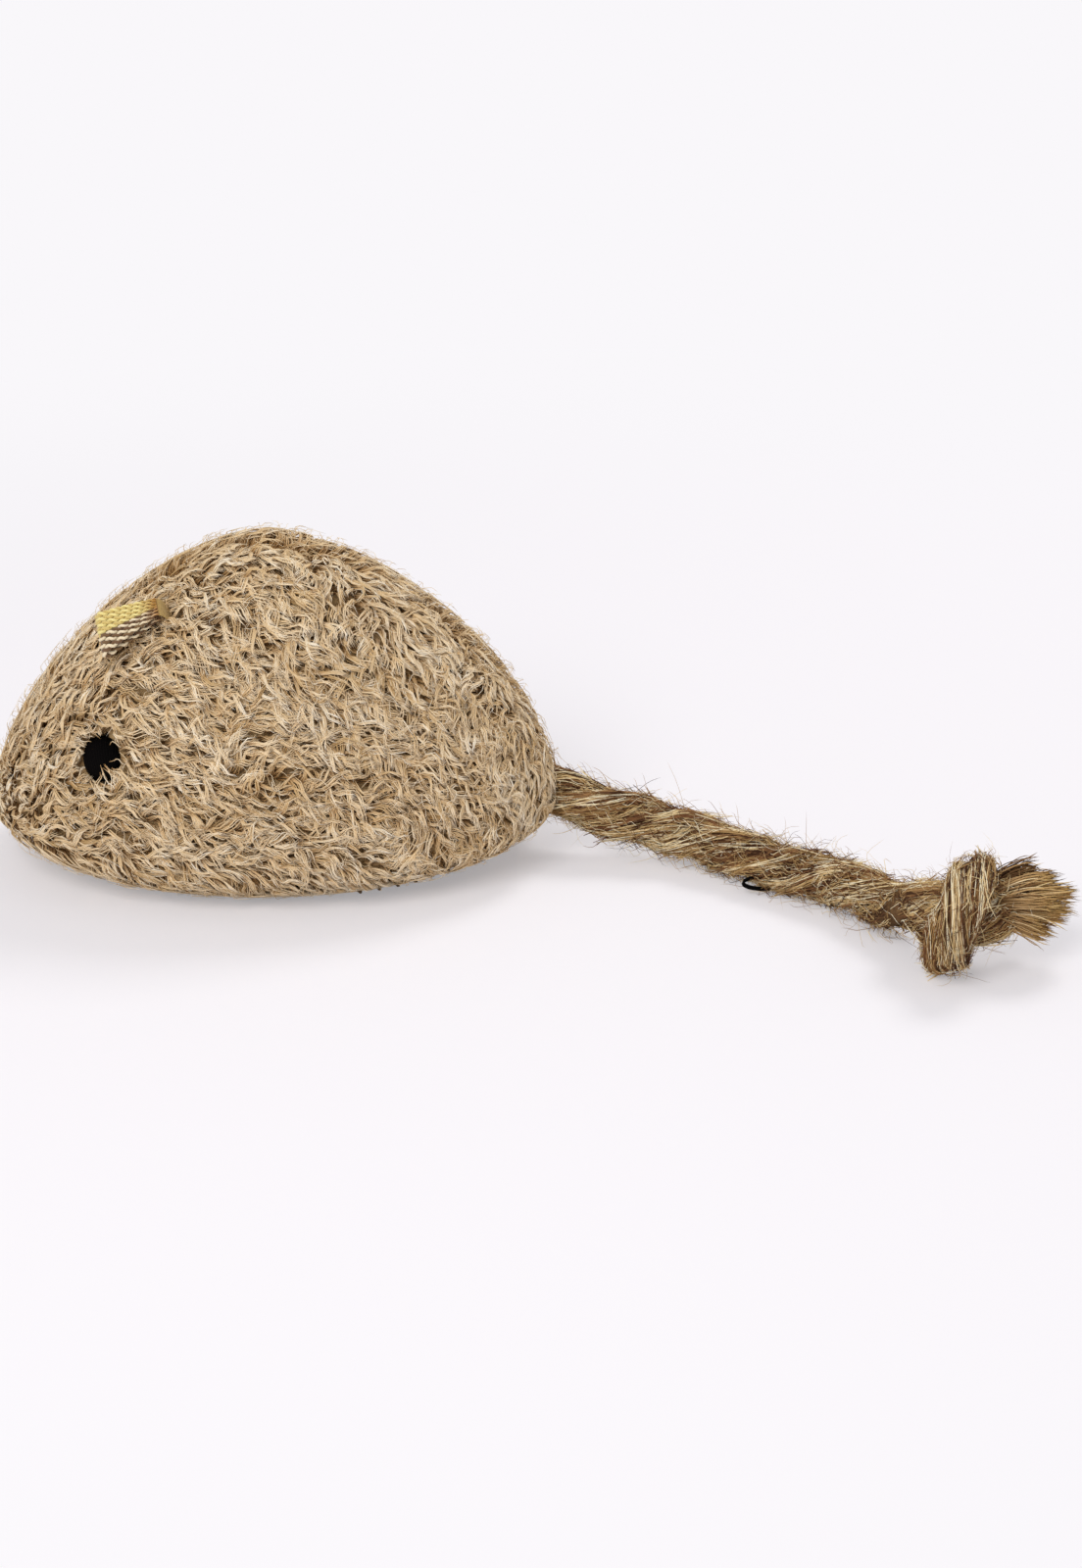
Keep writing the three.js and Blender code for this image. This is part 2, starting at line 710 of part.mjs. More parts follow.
body.add(piece('base_panel', basePanel(), baseCloth()));
body.add(piece('stuffing', stuffing(), fibre()));
body.add(piece('catnip_fill', catnipFill(), herb()));
for (const half of [LEFT, RIGHT]) {
  const { name, side } = half;
  body.add(piece(`${name}_side_panel`, sidePanel(side), plush()));
  head.add(piece(`${name}_eye`, eyeSolid(side, 0), satin()));
  head.add(piece(`${name}_ear`, ribbonEar(half), ribbon()));
  sewing.add(piece(`${name}_ear_stitches`, earTack(half), thread()));
}

sewing.add(piece('back_seam_thread', seam(backSeamLine, STITCH_LENGTH, THREAD_DIAMETER), thread()));
const leftSeam = baseSeamLine(LEFT.side, seamFront, closingFront - STITCH_LENGTH);
const rightSeam = baseSeamLine(RIGHT.side, seamFront, seamRear);
const closingSeam = baseSeamLine(LEFT.side, closingFront, seamRear);
sewing.add(piece('left_base_seam_thread', seam(leftSeam, STITCH_LENGTH, THREAD_DIAMETER), thread()));
sewing.add(piece('right_base_seam_thread', seam(rightSeam, STITCH_LENGTH, THREAD_DIAMETER), thread()));
sewing.add(piece(
  'closing_stitches',
  seam(closingSeam, CLOSING_STITCH_LENGTH, CLOSING_THREAD_DIAMETER),
  darkThread(),
));

tail.add(piece('tail_anchor', tailAnchor(), jute()));
tail.add(piece('tail_root', tailRoot(), jute()));
tail.add(piece('tail_rope', tailRope(), jute()));
tail.add(piece('tail_knot', tailKnot(), jute()));
tail.add(piece('tail_tuft', tailTuft(), jute()));

export default mouse;
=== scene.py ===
"""Looks of the catnip mouse: plush pile, ribbon ears, stitched eyes, sewn base and jute rope tail."""

import logging
import math
from dataclasses import dataclass, field, replace
from enum import Enum
from typing import Any, Callable, Sequence

import bmesh
import bpy
import numpy as np
from mathutils import Matrix, Vector


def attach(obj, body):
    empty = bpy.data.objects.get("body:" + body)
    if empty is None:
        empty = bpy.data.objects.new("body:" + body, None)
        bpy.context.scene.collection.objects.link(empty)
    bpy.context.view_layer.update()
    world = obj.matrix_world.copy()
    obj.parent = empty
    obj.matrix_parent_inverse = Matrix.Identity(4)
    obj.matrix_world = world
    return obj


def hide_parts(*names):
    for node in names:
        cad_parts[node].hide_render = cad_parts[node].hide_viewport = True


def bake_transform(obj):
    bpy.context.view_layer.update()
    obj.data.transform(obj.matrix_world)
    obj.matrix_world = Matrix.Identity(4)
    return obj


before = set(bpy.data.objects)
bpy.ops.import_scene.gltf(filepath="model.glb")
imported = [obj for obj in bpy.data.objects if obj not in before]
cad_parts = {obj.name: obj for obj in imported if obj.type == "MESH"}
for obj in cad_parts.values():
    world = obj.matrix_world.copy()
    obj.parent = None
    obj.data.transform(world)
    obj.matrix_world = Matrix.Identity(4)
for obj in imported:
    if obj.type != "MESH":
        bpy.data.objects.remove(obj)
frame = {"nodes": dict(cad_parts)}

LOG = logging.getLogger("catnip_mouse")
MM = 0.001
SEED = 20
CURVE_STEPS = 24

# The map of a strand: a column for its tint, with the height for the share from root to tip
UV_NAME = "OFBake"
TINT_COLUMNS = 16
STRIPE_START = 0.1
STRIPE_SPAN = 0.8
MAP_FOOT = 0.01
MAP_HEAD = 0.99
CAP_WIDE = 0.4
CAP_HIGH = 0.009

Array = np.ndarray
Piece = bpy.types.Object
Material = bpy.types.Material
Colour = tuple[float, float, float]
Stops = tuple[tuple[float, Colour], ...]
Span = tuple[float, float]
Point = tuple[float, float, float]
Profile = tuple[tuple[float, ...], tuple[float, ...]]
Axes = tuple[Array, Array, Array, Array]


class Side(Enum):
    """The two sides of the mouse, as the sign of Y."""

    LEFT = -1
    RIGHT = 1

    @property
    def word(self) -> str:
        """The side's name in node names."""
        return self.name.lower()


def srgb(red: int, green: int, blue: int) -> Colour:
    """Turn a display colour into the linear one that a shader takes.

    Args:
        red: Red from 0 to 255.
        green: Green from 0 to 255.
        blue: Blue from 0 to 255.

    Returns:
        The linear colour.
    """
    shares = [value / 255 for value in (red, green, blue)]
    return tuple(v / 12.92 if v <= 0.04045 else ((v + 0.055) / 1.055) ** 2.4 for v in shares)


def unit(vectors: Array) -> Array:
    """Scale vectors to length one along the last axis."""
    return vectors / np.maximum(np.linalg.norm(vectors, axis=-1, keepdims=True), 1e-12)


def smooth(share: Array) -> Array:
    """Ease a share from 0 to 1 in and out."""
    share = np.clip(share, 0, 1)
    return share * share * (3 - 2 * share)


def swell(station: Array, power: Array | float, least: float = 0.0) -> Array:
    """Give how full a rounded form is at a station, from 1 in its middle to the least at its ends."""
    return np.maximum(least, 1 - np.minimum(np.abs(station), 1) ** power) ** (1 / power)


def round_off(value: Array, power: Array) -> Array:
    """Bend a sine or cosine to a fuller section."""
    return np.sign(value) * np.abs(value) ** (2 / power)


def steps_along(line: Array) -> Array:
    """Give the length of a line from its start to each of its points."""
    return np.concatenate([[0], np.cumsum(np.linalg.norm(np.diff(line, axis=0), axis=1))])


def placed(points: Array, seat: Matrix) -> Array:
    """Move points from a seat's own axes to the toy's."""
    turn = np.array(seat)
    return points @ turn[:3, :3].T + turn[:3, 3]


def through(points: Sequence[Sequence[float]], count: int) -> Array:
    """Sample a smooth curve through given points at even steps of length.

    Args:
        points: The points to pass through, in metres.
        count: How many samples to return.

    Returns:
        The samples, one row each.
    """
    knots = np.asarray(points, dtype=float)
    padded = np.vstack([2 * knots[0] - knots[1], knots, 2 * knots[-1] - knots[-2]])
    share = np.linspace(0, 1, CURVE_STEPS, endpoint=False)[:, None]
    runs = []
    for a, b, c, d in zip(padded, padded[1:], padded[2:], padded[3:]):
        bend = (2 * a - 5 * b + 4 * c - d) * share**2 + (3 * b - a - 3 * c + d) * share**3
        runs.append(b + 0.5 * ((c - a) * share + bend))
    fine = np.vstack(runs + [knots[-1:]])
    length = steps_along(fine)
    steps = np.linspace(0, length[-1], count)
    return np.stack([np.interp(steps, length, fine[:, axis]) for axis in range(3)], axis=1)


def carried_frames(lines: Array) -> tuple[Array, Array, Array]:
    """Carry a pair of cross axes along lines without twisting them.

    Args:
        lines: Lines of points, shaped (lines, points, 3).

    Returns:
        Tangents and the two cross axes, each shaped as the lines.
    """
    tangents = unit(np.gradient(lines, axis=1))
    helper = np.eye(3)[np.argmin(np.abs(tangents[:, 0]), axis=1)]
    normals = np.empty_like(lines)
    normals[:, 0] = unit(np.cross(tangents[:, 0], helper))
    for step in range(1, lines.shape[1]):
        last = normals[:, step - 1]
        along = np.sum(last * tangents[:, step], axis=1, keepdims=True)
        normals[:, step] = unit(last - along * tangents[:, step])
    return tangents, normals, np.cross(tangents, normals)


class Socket:
    """A shader socket that takes part in Python expressions."""

    def __init__(self, tree: "ShaderTree", socket: bpy.types.NodeSocket) -> None:
        """Hold a socket and the tree that it is in."""
        self.tree = tree
        self.socket = socket

    def _math(self, operation: str, first: Any, second: Any) -> "Socket":
        """Add a Math node on two values."""
        return self.tree.node("ShaderNodeMath", {"operation": operation}, {0: first, 1: second})

    def __add__(self, other: Any) -> "Socket":
        """Add a value."""
        return self._math("ADD", self, other)

    __radd__ = __add__

    def __mul__(self, other: Any) -> "Socket":
        """Multiply by a value."""
        return self._math("MULTIPLY", self, other)

    __rmul__ = __mul__


class ShaderTree:
    """The node tree of one material or of the world."""

    def __init__(self, name: str, world: bpy.types.World | None = None) -> None:
        """Start an empty material, or take up the world's tree.

        Args:
            name: The material's name.
            world: The world, whose own nodes are kept.
        """
        self.material = world or bpy.data.materials.new(name)
        self.material.use_nodes = True
        self.tree = self.material.node_tree
        if world is None:
            self.tree.nodes.clear()

    def node(
        self, kind: str, settings: dict | None = None, inputs: dict | None = None, out: Any = 0
    ) -> Socket:
        """Add a node.

        Args:
            kind: The node's type.
            settings: Properties set before its sockets; stops are a colour ramp's.
            inputs: Values or sockets, by the input's name or number.
            out: Name or number of the output to return.

        Returns:
            The output.
        """
        made = self.tree.nodes.new(kind)
        for name, value in (settings or {}).items():
            if name == "stops":
                self._stops(made.color_ramp, value)
            else:
                setattr(made, name, value)
        for name, value in (inputs or {}).items():
            if isinstance(value, Socket):
                self.tree.links.new(value.socket, made.inputs[name])
            else:
                made.inputs[name].default_value = value
        return Socket(self, made.outputs[out])

    def _stops(self, ramp: bpy.types.ColorRamp, stops: Stops) -> None:
        """Set a ramp's stops.

        Args:
            ramp: The ramp.
            stops: Places from 0 to 1 with their colours.
        """
        while len(ramp.elements) < len(stops):
            ramp.elements.new(1.0)
        for element, (place, colour) in zip(ramp.elements, stops):
            element.position = place
            element.color = (*colour, 1)

    def ramp(self, value: Socket, stops: Stops) -> Socket:
        """Colour a value by stops."""
        return self.node("ShaderNodeValToRGB", {"stops": stops}, {"Fac": value})

    def multiply(self, first: Socket, second: Socket) -> Socket:
        """Multiply two colours."""
        settings = {"data_type": "RGBA", "blend_type": "MULTIPLY"}
        return self.node("ShaderNodeMix", settings, {0: 1.0, 6: first, 7: second}, 2)

    def strand_uv(self) -> tuple[Socket, Socket]:
        """Give a strand's tint and its share from root to tip.

        Returns:
            The tint and the share.
        """
        place = self.node("ShaderNodeUVMap", {"uv_map": UV_NAME})
        parts = [self.node("ShaderNodeSeparateXYZ", None, {0: place}, axis) for axis in ("X", "Y")]
        return parts[0], parts[1]

    def noise(self, scale: float, detail: float, roughness: float = 0.5) -> Socket:
        """Give noise on object coordinates.

        Args:
            scale: How fine it is.
            detail: How many finer layers it has.
            roughness: How strong they are.

        Returns:
            The value.
        """
        place = self.node("ShaderNodeTexCoord", None, None, "Object")
        values = {"Vector": place, "Scale": scale, "Detail": detail, "Roughness": roughness}
        return self.node("ShaderNodeTexNoise", None, values)

    def bump(self, height: Socket, distance: float) -> Socket:
        """Turn a height into a normal."""
        return self.node("ShaderNodeBump", None, {"Height": height, "Distance": distance})

    def surface(self, inputs: dict, other: Socket | None = None, share: Any = 0.0) -> Material:
        """End the tree in a principled surface.

        Args:
            inputs: Values or sockets of the surface, by name.
            other: A second shader to mix in.
            share: How much of it.

        Returns:
            The finished material.
        """
        shader = self.node("ShaderNodeBsdfPrincipled", None, inputs)
        if other:
            shader = self.node("ShaderNodeMixShader", None, {0: share, 1: shader, 2: other})
        end = self.tree.nodes.new("ShaderNodeOutputMaterial")
        self.tree.links.new(shader.socket, end.inputs["Surface"])
        return self.material


@dataclass(frozen=True)
class StrandFinish:
    """A finish for fibres: a tint for each strand, times a ramp from its root to its tip, which paints shade
    at the roots and ends of some finishes.
    """

    name: str
    tints: Stops
    # A multiplier from root (0) to tip (1); where it falls below white it paints shade.
    shades: Stops
    roughness: float
    sheen: float = 0.0
    gloss: float = 0.15
    sheen_roughness: float = 0.5

    def make(self) -> Material:
        """Build the material.

        Returns:
            The material.
        """
        tree = ShaderTree(self.name)
        tint, along = tree.strand_uv()
        shade = tree.ramp(along, self.shades)
        return tree.surface({
            "Base Color": tree.multiply(tree.ramp(tint, self.tints), shade),
            "Roughness": self.roughness,
            "Specular IOR Level": self.gloss,
            "Sheen Weight": self.sheen,
            "Sheen Roughness": self.sheen_roughness,
        })


@dataclass(frozen=True)
class ClothFinish:
    """A finish for plain cloth and loose fill: two colours in a fine grain with a bump."""

    name: str
    dark: Colour
    light: Colour
    grain: float
    bump: float
    roughness: float
    gloss: float = 0.2
    fine_detail: float = 5.0
    fine_roughness: float = 0.7
    broad_detail: float = 2.0
    broad_step: float = 9
    broad_share: float = 0.3
    dark_at: float = 0.32
    light_at: float = 0.68

    def make(self) -> Material:
        """Build the material.

        Returns:
            The material.
        """
        tree = ShaderTree(self.name)
        fine = tree.noise(self.grain, self.fine_detail, self.fine_roughness)
        broad = tree.noise(self.grain / self.broad_step, self.broad_detail)
        mottle = fine * (1 - self.broad_share) + broad * self.broad_share
        return tree.surface({
            "Base Color": tree.ramp(mottle, ((self.dark_at, self.dark), (self.light_at, self.light))),
            "Roughness": self.roughness,
            "Specular IOR Level": self.gloss,
            "Normal": tree.bump(fine, self.bump),
        })


WHITE = srgb(255, 255, 255)
# Painted shade: orange-brown at the ribbon's sewn ends, where it goes into the pile.
RIBBON_ROOT_SHADE = srgb(200, 160, 110)
UNSHADED: Stops = ((0.0, WHITE), (1.0, WHITE))


@dataclass(frozen=True)
class Finishes:
    """Every finish of the toy."""

    pile: StrandFinish = StrandFinish(
        "shaggy_pile",
        (
            (0.0, srgb(196, 166, 120)), (0.3, srgb(232, 207, 168)),
            (0.62, srgb(247, 230, 202)), (0.95, srgb(255, 249, 236)),
        ),
        # Painted shade: the roots are darker, deep in the pile where the hairs shade each other; the tips
        # stay white.
        ((0.0, srgb(188, 154, 106)), (0.5, srgb(246, 238, 222)), (1.0, WHITE)),
        0.8,
    )
    jute: StrandFinish = StrandFinish(
        "twisted_jute",
        (
            (0.0, srgb(66, 40, 26)), (0.25, srgb(140, 96, 62)),
            (0.55, srgb(198, 162, 106)), (0.8, srgb(236, 210, 158)),
            (0.97, srgb(255, 244, 212)),
        ),
        UNSHADED,
        0.8,
    )
    frayed: StrandFinish = StrandFinish(
        "frayed_jute",
        (
            (0.0, srgb(74, 50, 34)), (0.35, srgb(150, 114, 76)),
            (0.65, srgb(208, 174, 126)), (0.95, srgb(244, 224, 186)),
        ),
        # Painted shade: darker where the fibres leave the knot; an olive tone at their ends.
        (
            (0.0, srgb(150, 132, 112)), (0.4, srgb(250, 246, 238)),
            (0.7, srgb(255, 252, 236)), (1.0, srgb(232, 220, 172)),
        ),
        0.85,
    )
    ribbon: StrandFinish = StrandFinish(
        "woven_ribbon",
        (
            # The dark brown low end also serves the painted shade of the lower rows and of the root stub.
            (0.0, srgb(104, 74, 54)), (0.3, srgb(198, 168, 98)),
            (0.6, srgb(240, 224, 150)), (0.95, srgb(236, 219, 190)),
        ),
        # Painted shade at both sewn ends of the ribbon, where it enters the pile; white in between.
        (
            (0.0, RIBBON_ROOT_SHADE), (0.1, WHITE),
            (0.86, WHITE), (0.98, RIBBON_ROOT_SHADE),
        ),
        0.5, 0.2,
    )
    satin: StrandFinish = StrandFinish(
        "satin_stitch",
        ((0.0, srgb(5, 4, 4)), (0.95, srgb(14, 11, 10))),
        ((0.0, srgb(200, 200, 200)), (0.5, WHITE)),
        0.7, gloss=0.03,
    )
    thread: StrandFinish = StrandFinish(
        "sewing_thread",
        ((0.0, srgb(60, 42, 28)), (0.95, srgb(206, 178, 134))),
        UNSHADED,
        0.6,
    )
    backing: ClothFinish = ClothFinish(
        "pile_backing", srgb(150, 120, 80), srgb(188, 158, 114), 900.0, 0.0004, 0.95
    )
    base_cloth: ClothFinish = ClothFinish(
        "base_cloth", srgb(176, 154, 122), srgb(222, 206, 178), 1400.0, 0.0003, 0.92
    )
    fill: ClothFinish = ClothFinish(
        "stuffing_fibre", srgb(205, 200, 188), srgb(246, 244, 238), 500.0, 0.0010, 0.95
    )
    herb: ClothFinish = ClothFinish(
        "dried_catnip", srgb(70, 78, 36), srgb(150, 152, 86), 700.0, 0.0012, 0.95
    )
    # Painted shade: the plies under the laid fibres are darker than the fibres, for the shade in the rope's
    # grooves.
    rope_core: ClothFinish = ClothFinish(
        "rope_core", srgb(66, 46, 30), srgb(138, 104, 66), 1600.0, 0.0004, 0.95
    )
    hidden_rope: ClothFinish = ClothFinish(
        "sewn_in_rope", srgb(100, 76, 50), srgb(176, 144, 100), 800.0, 0.0006, 0.9
    )


class Wardrobe:
    """Makes each finish once and hands out its material."""

    def __init__(self, finishes: Finishes) -> None:
        """Hold the finishes."""
        self.finishes = finishes
        self._made: dict[str, Material] = {}

    def __call__(self, name: str) -> Material:
        """Give the material of a finish.

        Args:
            name: The finish's field name.

        Returns:
            Its material.
        """
        if name not in self._made:
            self._made[name] = getattr(self.finishes, name).make()
        return self._made[name]


def link(mesh: bpy.types.Mesh, name: str, material: Material) -> Piece:
    """Put a mesh into the scene.

    Args:
        mesh: The mesh, already in its place.
        name: The piece's name.
        material: Its finish.

    Returns:
        The new object, at the origin.
    """
    piece = bpy.data.objects.new(name, mesh)
    bpy.context.scene.collection.objects.link(piece)
    mesh.materials.append(material)
    LOG.info("made %s: %d faces", name, len(mesh.polygons))
    return piece


def from_shape(shape: bmesh.types.BMesh, name: str, material: Material) -> Piece:
    """Turn a modelled shape into a smooth piece.

    Args:
        shape: The shape, which is freed.
        name: The piece's name.
        material: Its finish.

    Returns:
        The new piece.
    """
    for face in shape.faces:
        face.smooth = True
    mesh = bpy.data.meshes.new(name)
    shape.to_mesh(mesh)
    shape.free()
    return link(mesh, name, material)


def sew_on(piece: Piece, slot: str, *nodes: str) -> None:
    """Fix a piece to the body of the mouse.

    Args:
        piece: The piece.
        slot: Not used.
        nodes: The nodes that it stands for.
    """
    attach(piece, "mouse")
    if nodes:
        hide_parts(*nodes)


def strands(
    name: str,
    lines: Array,
    radii: Array,
    tints: Array,
    sides: int,
    material: Material,
    pointed: bool = False,
) -> Piece:
    """Make a closed tube round each line.

    Args:
        name: The piece's name.
        lines: Centre lines, shaped (strands, points, 3).
        radii: Radius at each point, shaped (strands, points).
        tints: Tint of each strand, from 0 to 1.
        sides: Sides of each tube.
        material: Its finish.
        pointed: Whether each tube ends in a point.

    Returns:
        The piece, with a map that holds each strand's tint and its share along the strand.
    """
    count, points, _ = lines.shape
    rings = points - 1 if pointed else points
    _, normals, across = carried_frames(lines)
    turns = 2 * np.pi * np.arange(sides) / sides
    ring = np.cos(turns)[:, None] * normals[:, :rings, None]
    ring = ring + np.sin(turns)[:, None] * across[:, :rings, None]
    places = (lines[:, :rings, None] + radii[:, :rings, None, None] * ring).reshape(-1, 3)
    column = np.floor(np.clip(tints, 0, 0.999) * TINT_COLUMNS) / TINT_COLUMNS
    width = 1 / TINT_COLUMNS

    def bounds(strand: Array, side: Array) -> tuple[Array, Array]:
        """Give the left and right edge of a side's own stripe of the map."""
        left = column[strand] + width * (STRIPE_START + STRIPE_SPAN * side / sides)
        return left, left + width * STRIPE_SPAN / sides

    def height(step: Array | int) -> Array:
        """Give a ring's place up the map."""
        return MAP_FOOT + (MAP_HEAD - MAP_FOOT) * np.asarray(step) / (points - 1)

    def cap(base: Array, turn: Array, level: float) -> tuple[Array, Array]:
        """Give a flat end of each strand.

        Args:
            base: First corner of each strand's end ring.
            turn: Angles of the corners, in their order.
            level: Place of the end up the map.

        Returns:
            The corners, and their patch of the map.
        """
        u = column[:, None] + width * (0.5 + CAP_WIDE * np.cos(turn))
        v = np.broadcast_to(level + CAP_HIGH * np.sin(turn), u.shape)
        return base + np.round(turn / (2 * np.pi) * sides).astype(int), np.stack([u, v], -1)

    strand, step, side = np.meshgrid(np.arange(count), np.arange(rings - 1), np.arange(sides), indexing="ij")
    after = (side + 1) % sides
    base = (strand * rings + step) * sides
    left, right = bounds(strand, side)
    low, high = height(step), height(step + 1)
    walls = np.stack([base + side, base + after, base + sides + after, base + sides + side], -1)
    wall_map = np.stack([left, low, right, low, right, high, left, high], -1)
    first = np.arange(count)[:, None] * rings * sides
    faces = [(walls.reshape(-1, 4), wall_map.reshape(-1, 2))]
    heel, heel_map = cap(first, turns[::-1], MAP_FOOT)
    faces.append((heel, heel_map.reshape(-1, 2)))
    last = first + (rings - 1) * sides
    if pointed:
        strand, side = np.meshgrid(np.arange(count), np.arange(sides), indexing="ij")
        left, right = bounds(strand, side)
        tip = len(places) + strand
        level = np.full(strand.shape, height(rings - 1))
        head = np.full(strand.shape, MAP_HEAD)
        places = np.concatenate([places, lines[:, -1]])
        ends = np.stack([last + side, last + (side + 1) % sides, tip], -1).reshape(-1, 3)
        ends_map = np.stack([left, level, right, level, (left + right) / 2, head], -1)
        faces.append((ends, ends_map.reshape(-1, 2)))
    else:
        toe, toe_map = cap(last, turns, MAP_HEAD)
        faces.append((toe, toe_map.reshape(-1, 2)))

    mesh = bpy.data.meshes.new(name)
    mesh.vertices.add(len(places))
    mesh.vertices.foreach_set("co", places.astype(np.float32).ravel())
    corners = np.concatenate([corner.ravel() for corner, _ in faces]).astype(np.int32)
    totals = np.concatenate([np.full(len(corner), corner.shape[1]) for corner, _ in faces])
    mesh.loops.add(len(corners))
    mesh.loops.foreach_set("vertex_index", corners)
    mesh.polygons.add(len(totals))
    mesh.polygons.foreach_set("loop_start", np.concatenate([[0], np.cumsum(totals)[:-1]]).astype(np.int32))
    mesh.polygons.foreach_set("use_smooth", np.ones(len(totals), dtype=bool))
    mesh.update(calc_edges=True)
    layer = mesh.uv_layers.new(name=UV_NAME)
    layer.data.foreach_set("uv", np.concatenate([spot for _, spot in faces]).astype(np.float32).ravel())
    return link(mesh, name, material)


def even(count: int, points: int, radius: float) -> Array:
    """Give one radius to every point of some strands."""
    return np.full((count, points), radius)


@dataclass(frozen=True)
class BodyForm:
    """The plump form of the body over the tips of its pile."""

    length: float = 70 * MM
    width: float = 45 * MM
    height: float = 41.5 * MM
    widest: float = 8.5 * MM
    underside: float = -0.5 * MM
    forward: float = 1.1 * MM
    nose_plan: float = 2.2
    rump_plan: float = 2.1
    nose_ridge: float = 1.56
    rump_ridge: float = 1.63
    belly: float = 2.0
    flank: float = 2.0
    under: float = 3.0
    core_share: float = 0.6
    core_height: float = 14 * MM
    far_out: float = 9.0
    halvings: int = 14

    def inset(self, depth: float, underside: float) -> "BodyForm":
        """Draw the form in by a depth, above a level underside.

        Args:
            depth: How far.
            underside: Height of the new underside.

        Returns:
            The smaller form.
        """
        return replace(
            self,
            length=self.length - 2 * depth,
            width=self.width - 2 * depth,
            height=self.height - depth,
            underside=underside,
        )

    def reach(self, ahead: Array) -> Array:
        """Give how far the body goes from its fullest section to the nose or to the rump."""
        return np.where(ahead, self.length / 2 - self.forward, self.length / 2 + self.forward)

    def plan(self, ahead: Array) -> Array:
        """Give the fullness of the outline seen from above, at the nose or at the rump."""
        return np.where(ahead, self.nose_plan, self.rump_plan)

    def ridge(self, ahead: Array) -> Array:
        """Give the fullness of the outline seen from the side, at the nose or at the rump."""
        return np.where(ahead, self.nose_ridge, self.rump_ridge)

    def station(self, x: Array | float) -> Array:
        """Give the station of places along the body, from -1 at the nose to 1 at the rump."""
        offset = x + self.forward
        return offset / self.reach(offset < 0)

    def point(self, station: Array, angle: Array) -> Array:
        """Give points of the form.

        Args:
            station: From -1 at the nose to 1 at the rump.
            angle: Round the section, from the right flank over the ridge.

        Returns:
            The points.
        """
        station, angle = np.broadcast_arrays(np.asarray(station, float), np.asarray(angle, float))
        ahead = station < 0
        x = -self.forward + station * self.reach(ahead)
        upper = np.sin(angle) >= 0
        power = np.where(upper, self.flank, self.under)
        rise = np.where(
            upper,
            (self.height - self.widest) * swell(station, self.ridge(ahead)),
            (self.widest - self.underside) * swell(station, self.belly),
        )
        y = self.width / 2 * swell(station, self.plan(ahead)) * round_off(np.cos(angle), power)
        return np.stack([x, y, self.widest + rise * round_off(np.sin(angle), power)], -1)

    def holds(self, points: Array) -> Array:
        """Say which points are inside the form.

        Args:
            points: The points.

        Returns:
            True for each point inside.
        """
        least = 1e-9
        station = self.station(points[..., 0])
        ahead = station < 0
        upper = points[..., 2] >= self.widest
        side = np.abs(points[..., 1]) / (self.width / 2 * swell(station, self.plan(ahead), least))
        rise = (self.height - self.widest) * swell(station, self.ridge(ahead), least)
        fall = (self.widest - self.underside) * swell(station, self.belly, least)
        above = points[..., 2] - self.widest
        away = np.where(upper, above / rise, -above / fall)
        power = np.where(upper, self.flank, self.under)
        level = np.minimum(side, self.far_out) ** power + np.minimum(away, self.far_out) ** power
        return (level < 1) & (np.abs(station) < 1)

    def draw_in(self, points: Array) -> Array:
        """Draw points that stand out of the form back to it, towards its middle.

        Args:
            points: The points.

        Returns:
            The points, none of them outside.
        """
        centre = np.array([-self.forward, 0, self.widest])
        drawn = points.copy()
        outside = ~self.holds(points)
        reach = points[outside] - centre
        low = np.zeros(len(reach))
        high = np.ones(len(reach))
        for _ in range(self.halvings):
            middle = (low + high) / 2
            inside = self.holds(centre + middle[:, None] * reach)
            low = np.where(inside, middle, low)
            high = np.where(inside, high, middle)
        drawn[outside] = centre + low[:, None] * reach
        return drawn

    def floor_under(self, x: Array, y: Array) -> Array:
        """Give the height of the form's underside over the floor.

        Args:
            x: Places along the body.
            y: Places across it.

        Returns:
            The heights, up to the widest level.
        """
        station = self.station(x)
        reach = self.width / 2 * swell(station, self.plan(station < 0))
        fall = (self.widest - self.underside) * swell(station, self.belly)
        side = np.abs(y) / np.maximum(reach, 1e-9)
        return np.maximum(0, self.widest - fall * swell(side, self.under))

    def axes(self, station: Array, angle: Array) -> Axes:
        """Give points with the axes of the skin there.

        Args:
            station: From -1 at the nose to 1 at the rump.
            angle: Round the section, from the right flank over the ridge.

        Returns:
            The points, and the directions to the tail, down the flank and out of the skin.
        """
        step = 2e-3
        points = self.point(station, angle)
        back = unit(self.point(station + step, angle) - self.point(station - step, angle))
        round_way = unit(self.point(station, angle + step) - self.point(station, angle - step))
        out = unit(np.cross(round_way, back))
        core = points * np.array([self.core_share, 0, 0]) + np.array([0, 0, self.core_height])
        out = np.where(np.sum(out * (points - core), -1, keepdims=True) < 0, -out, out)
        down = unit(np.cross(back, out))
        climbs = np.sum(down * round_way, -1, keepdims=True) * np.cos(angle)[..., None] > 0
        return points, back, np.where(climbs, -down, down), out

    def seat(self, x: float, angle: float) -> Matrix:
        """Give axes on the form: towards the nose, across and out, as a matrix.

        Args:
            x: Place along the body.
            angle: Angle round the section.

        Returns:
            A matrix whose columns are the axes and the point.
        """
        points, back, _, out = self.axes(np.array([self.station(x)]), np.array([angle]))
        along = Vector(-back[0])
        outward = Vector(out[0])
        across = outward.cross(along).normalized()
        basis = Matrix((along, across, outward)).transposed().to_4x4()
        return Matrix.Translation(Vector(points[0])) @ basis


@dataclass(frozen=True)
class PileLay:
    """How the pile is brushed at one place of the flank: the place in mm and the heading in degrees."""

    x: float
    z: float
    heading: float


@dataclass(frozen=True)
class HairKind:
    """One kind of hair in the pile."""

    locks: int
    hairs: int
    length: Span
    rise: Span
    spread: float
    wander: float
    radius: float
    margins: tuple[float, ...]
    paler: float = 0.0
    nose_locks: int = 0


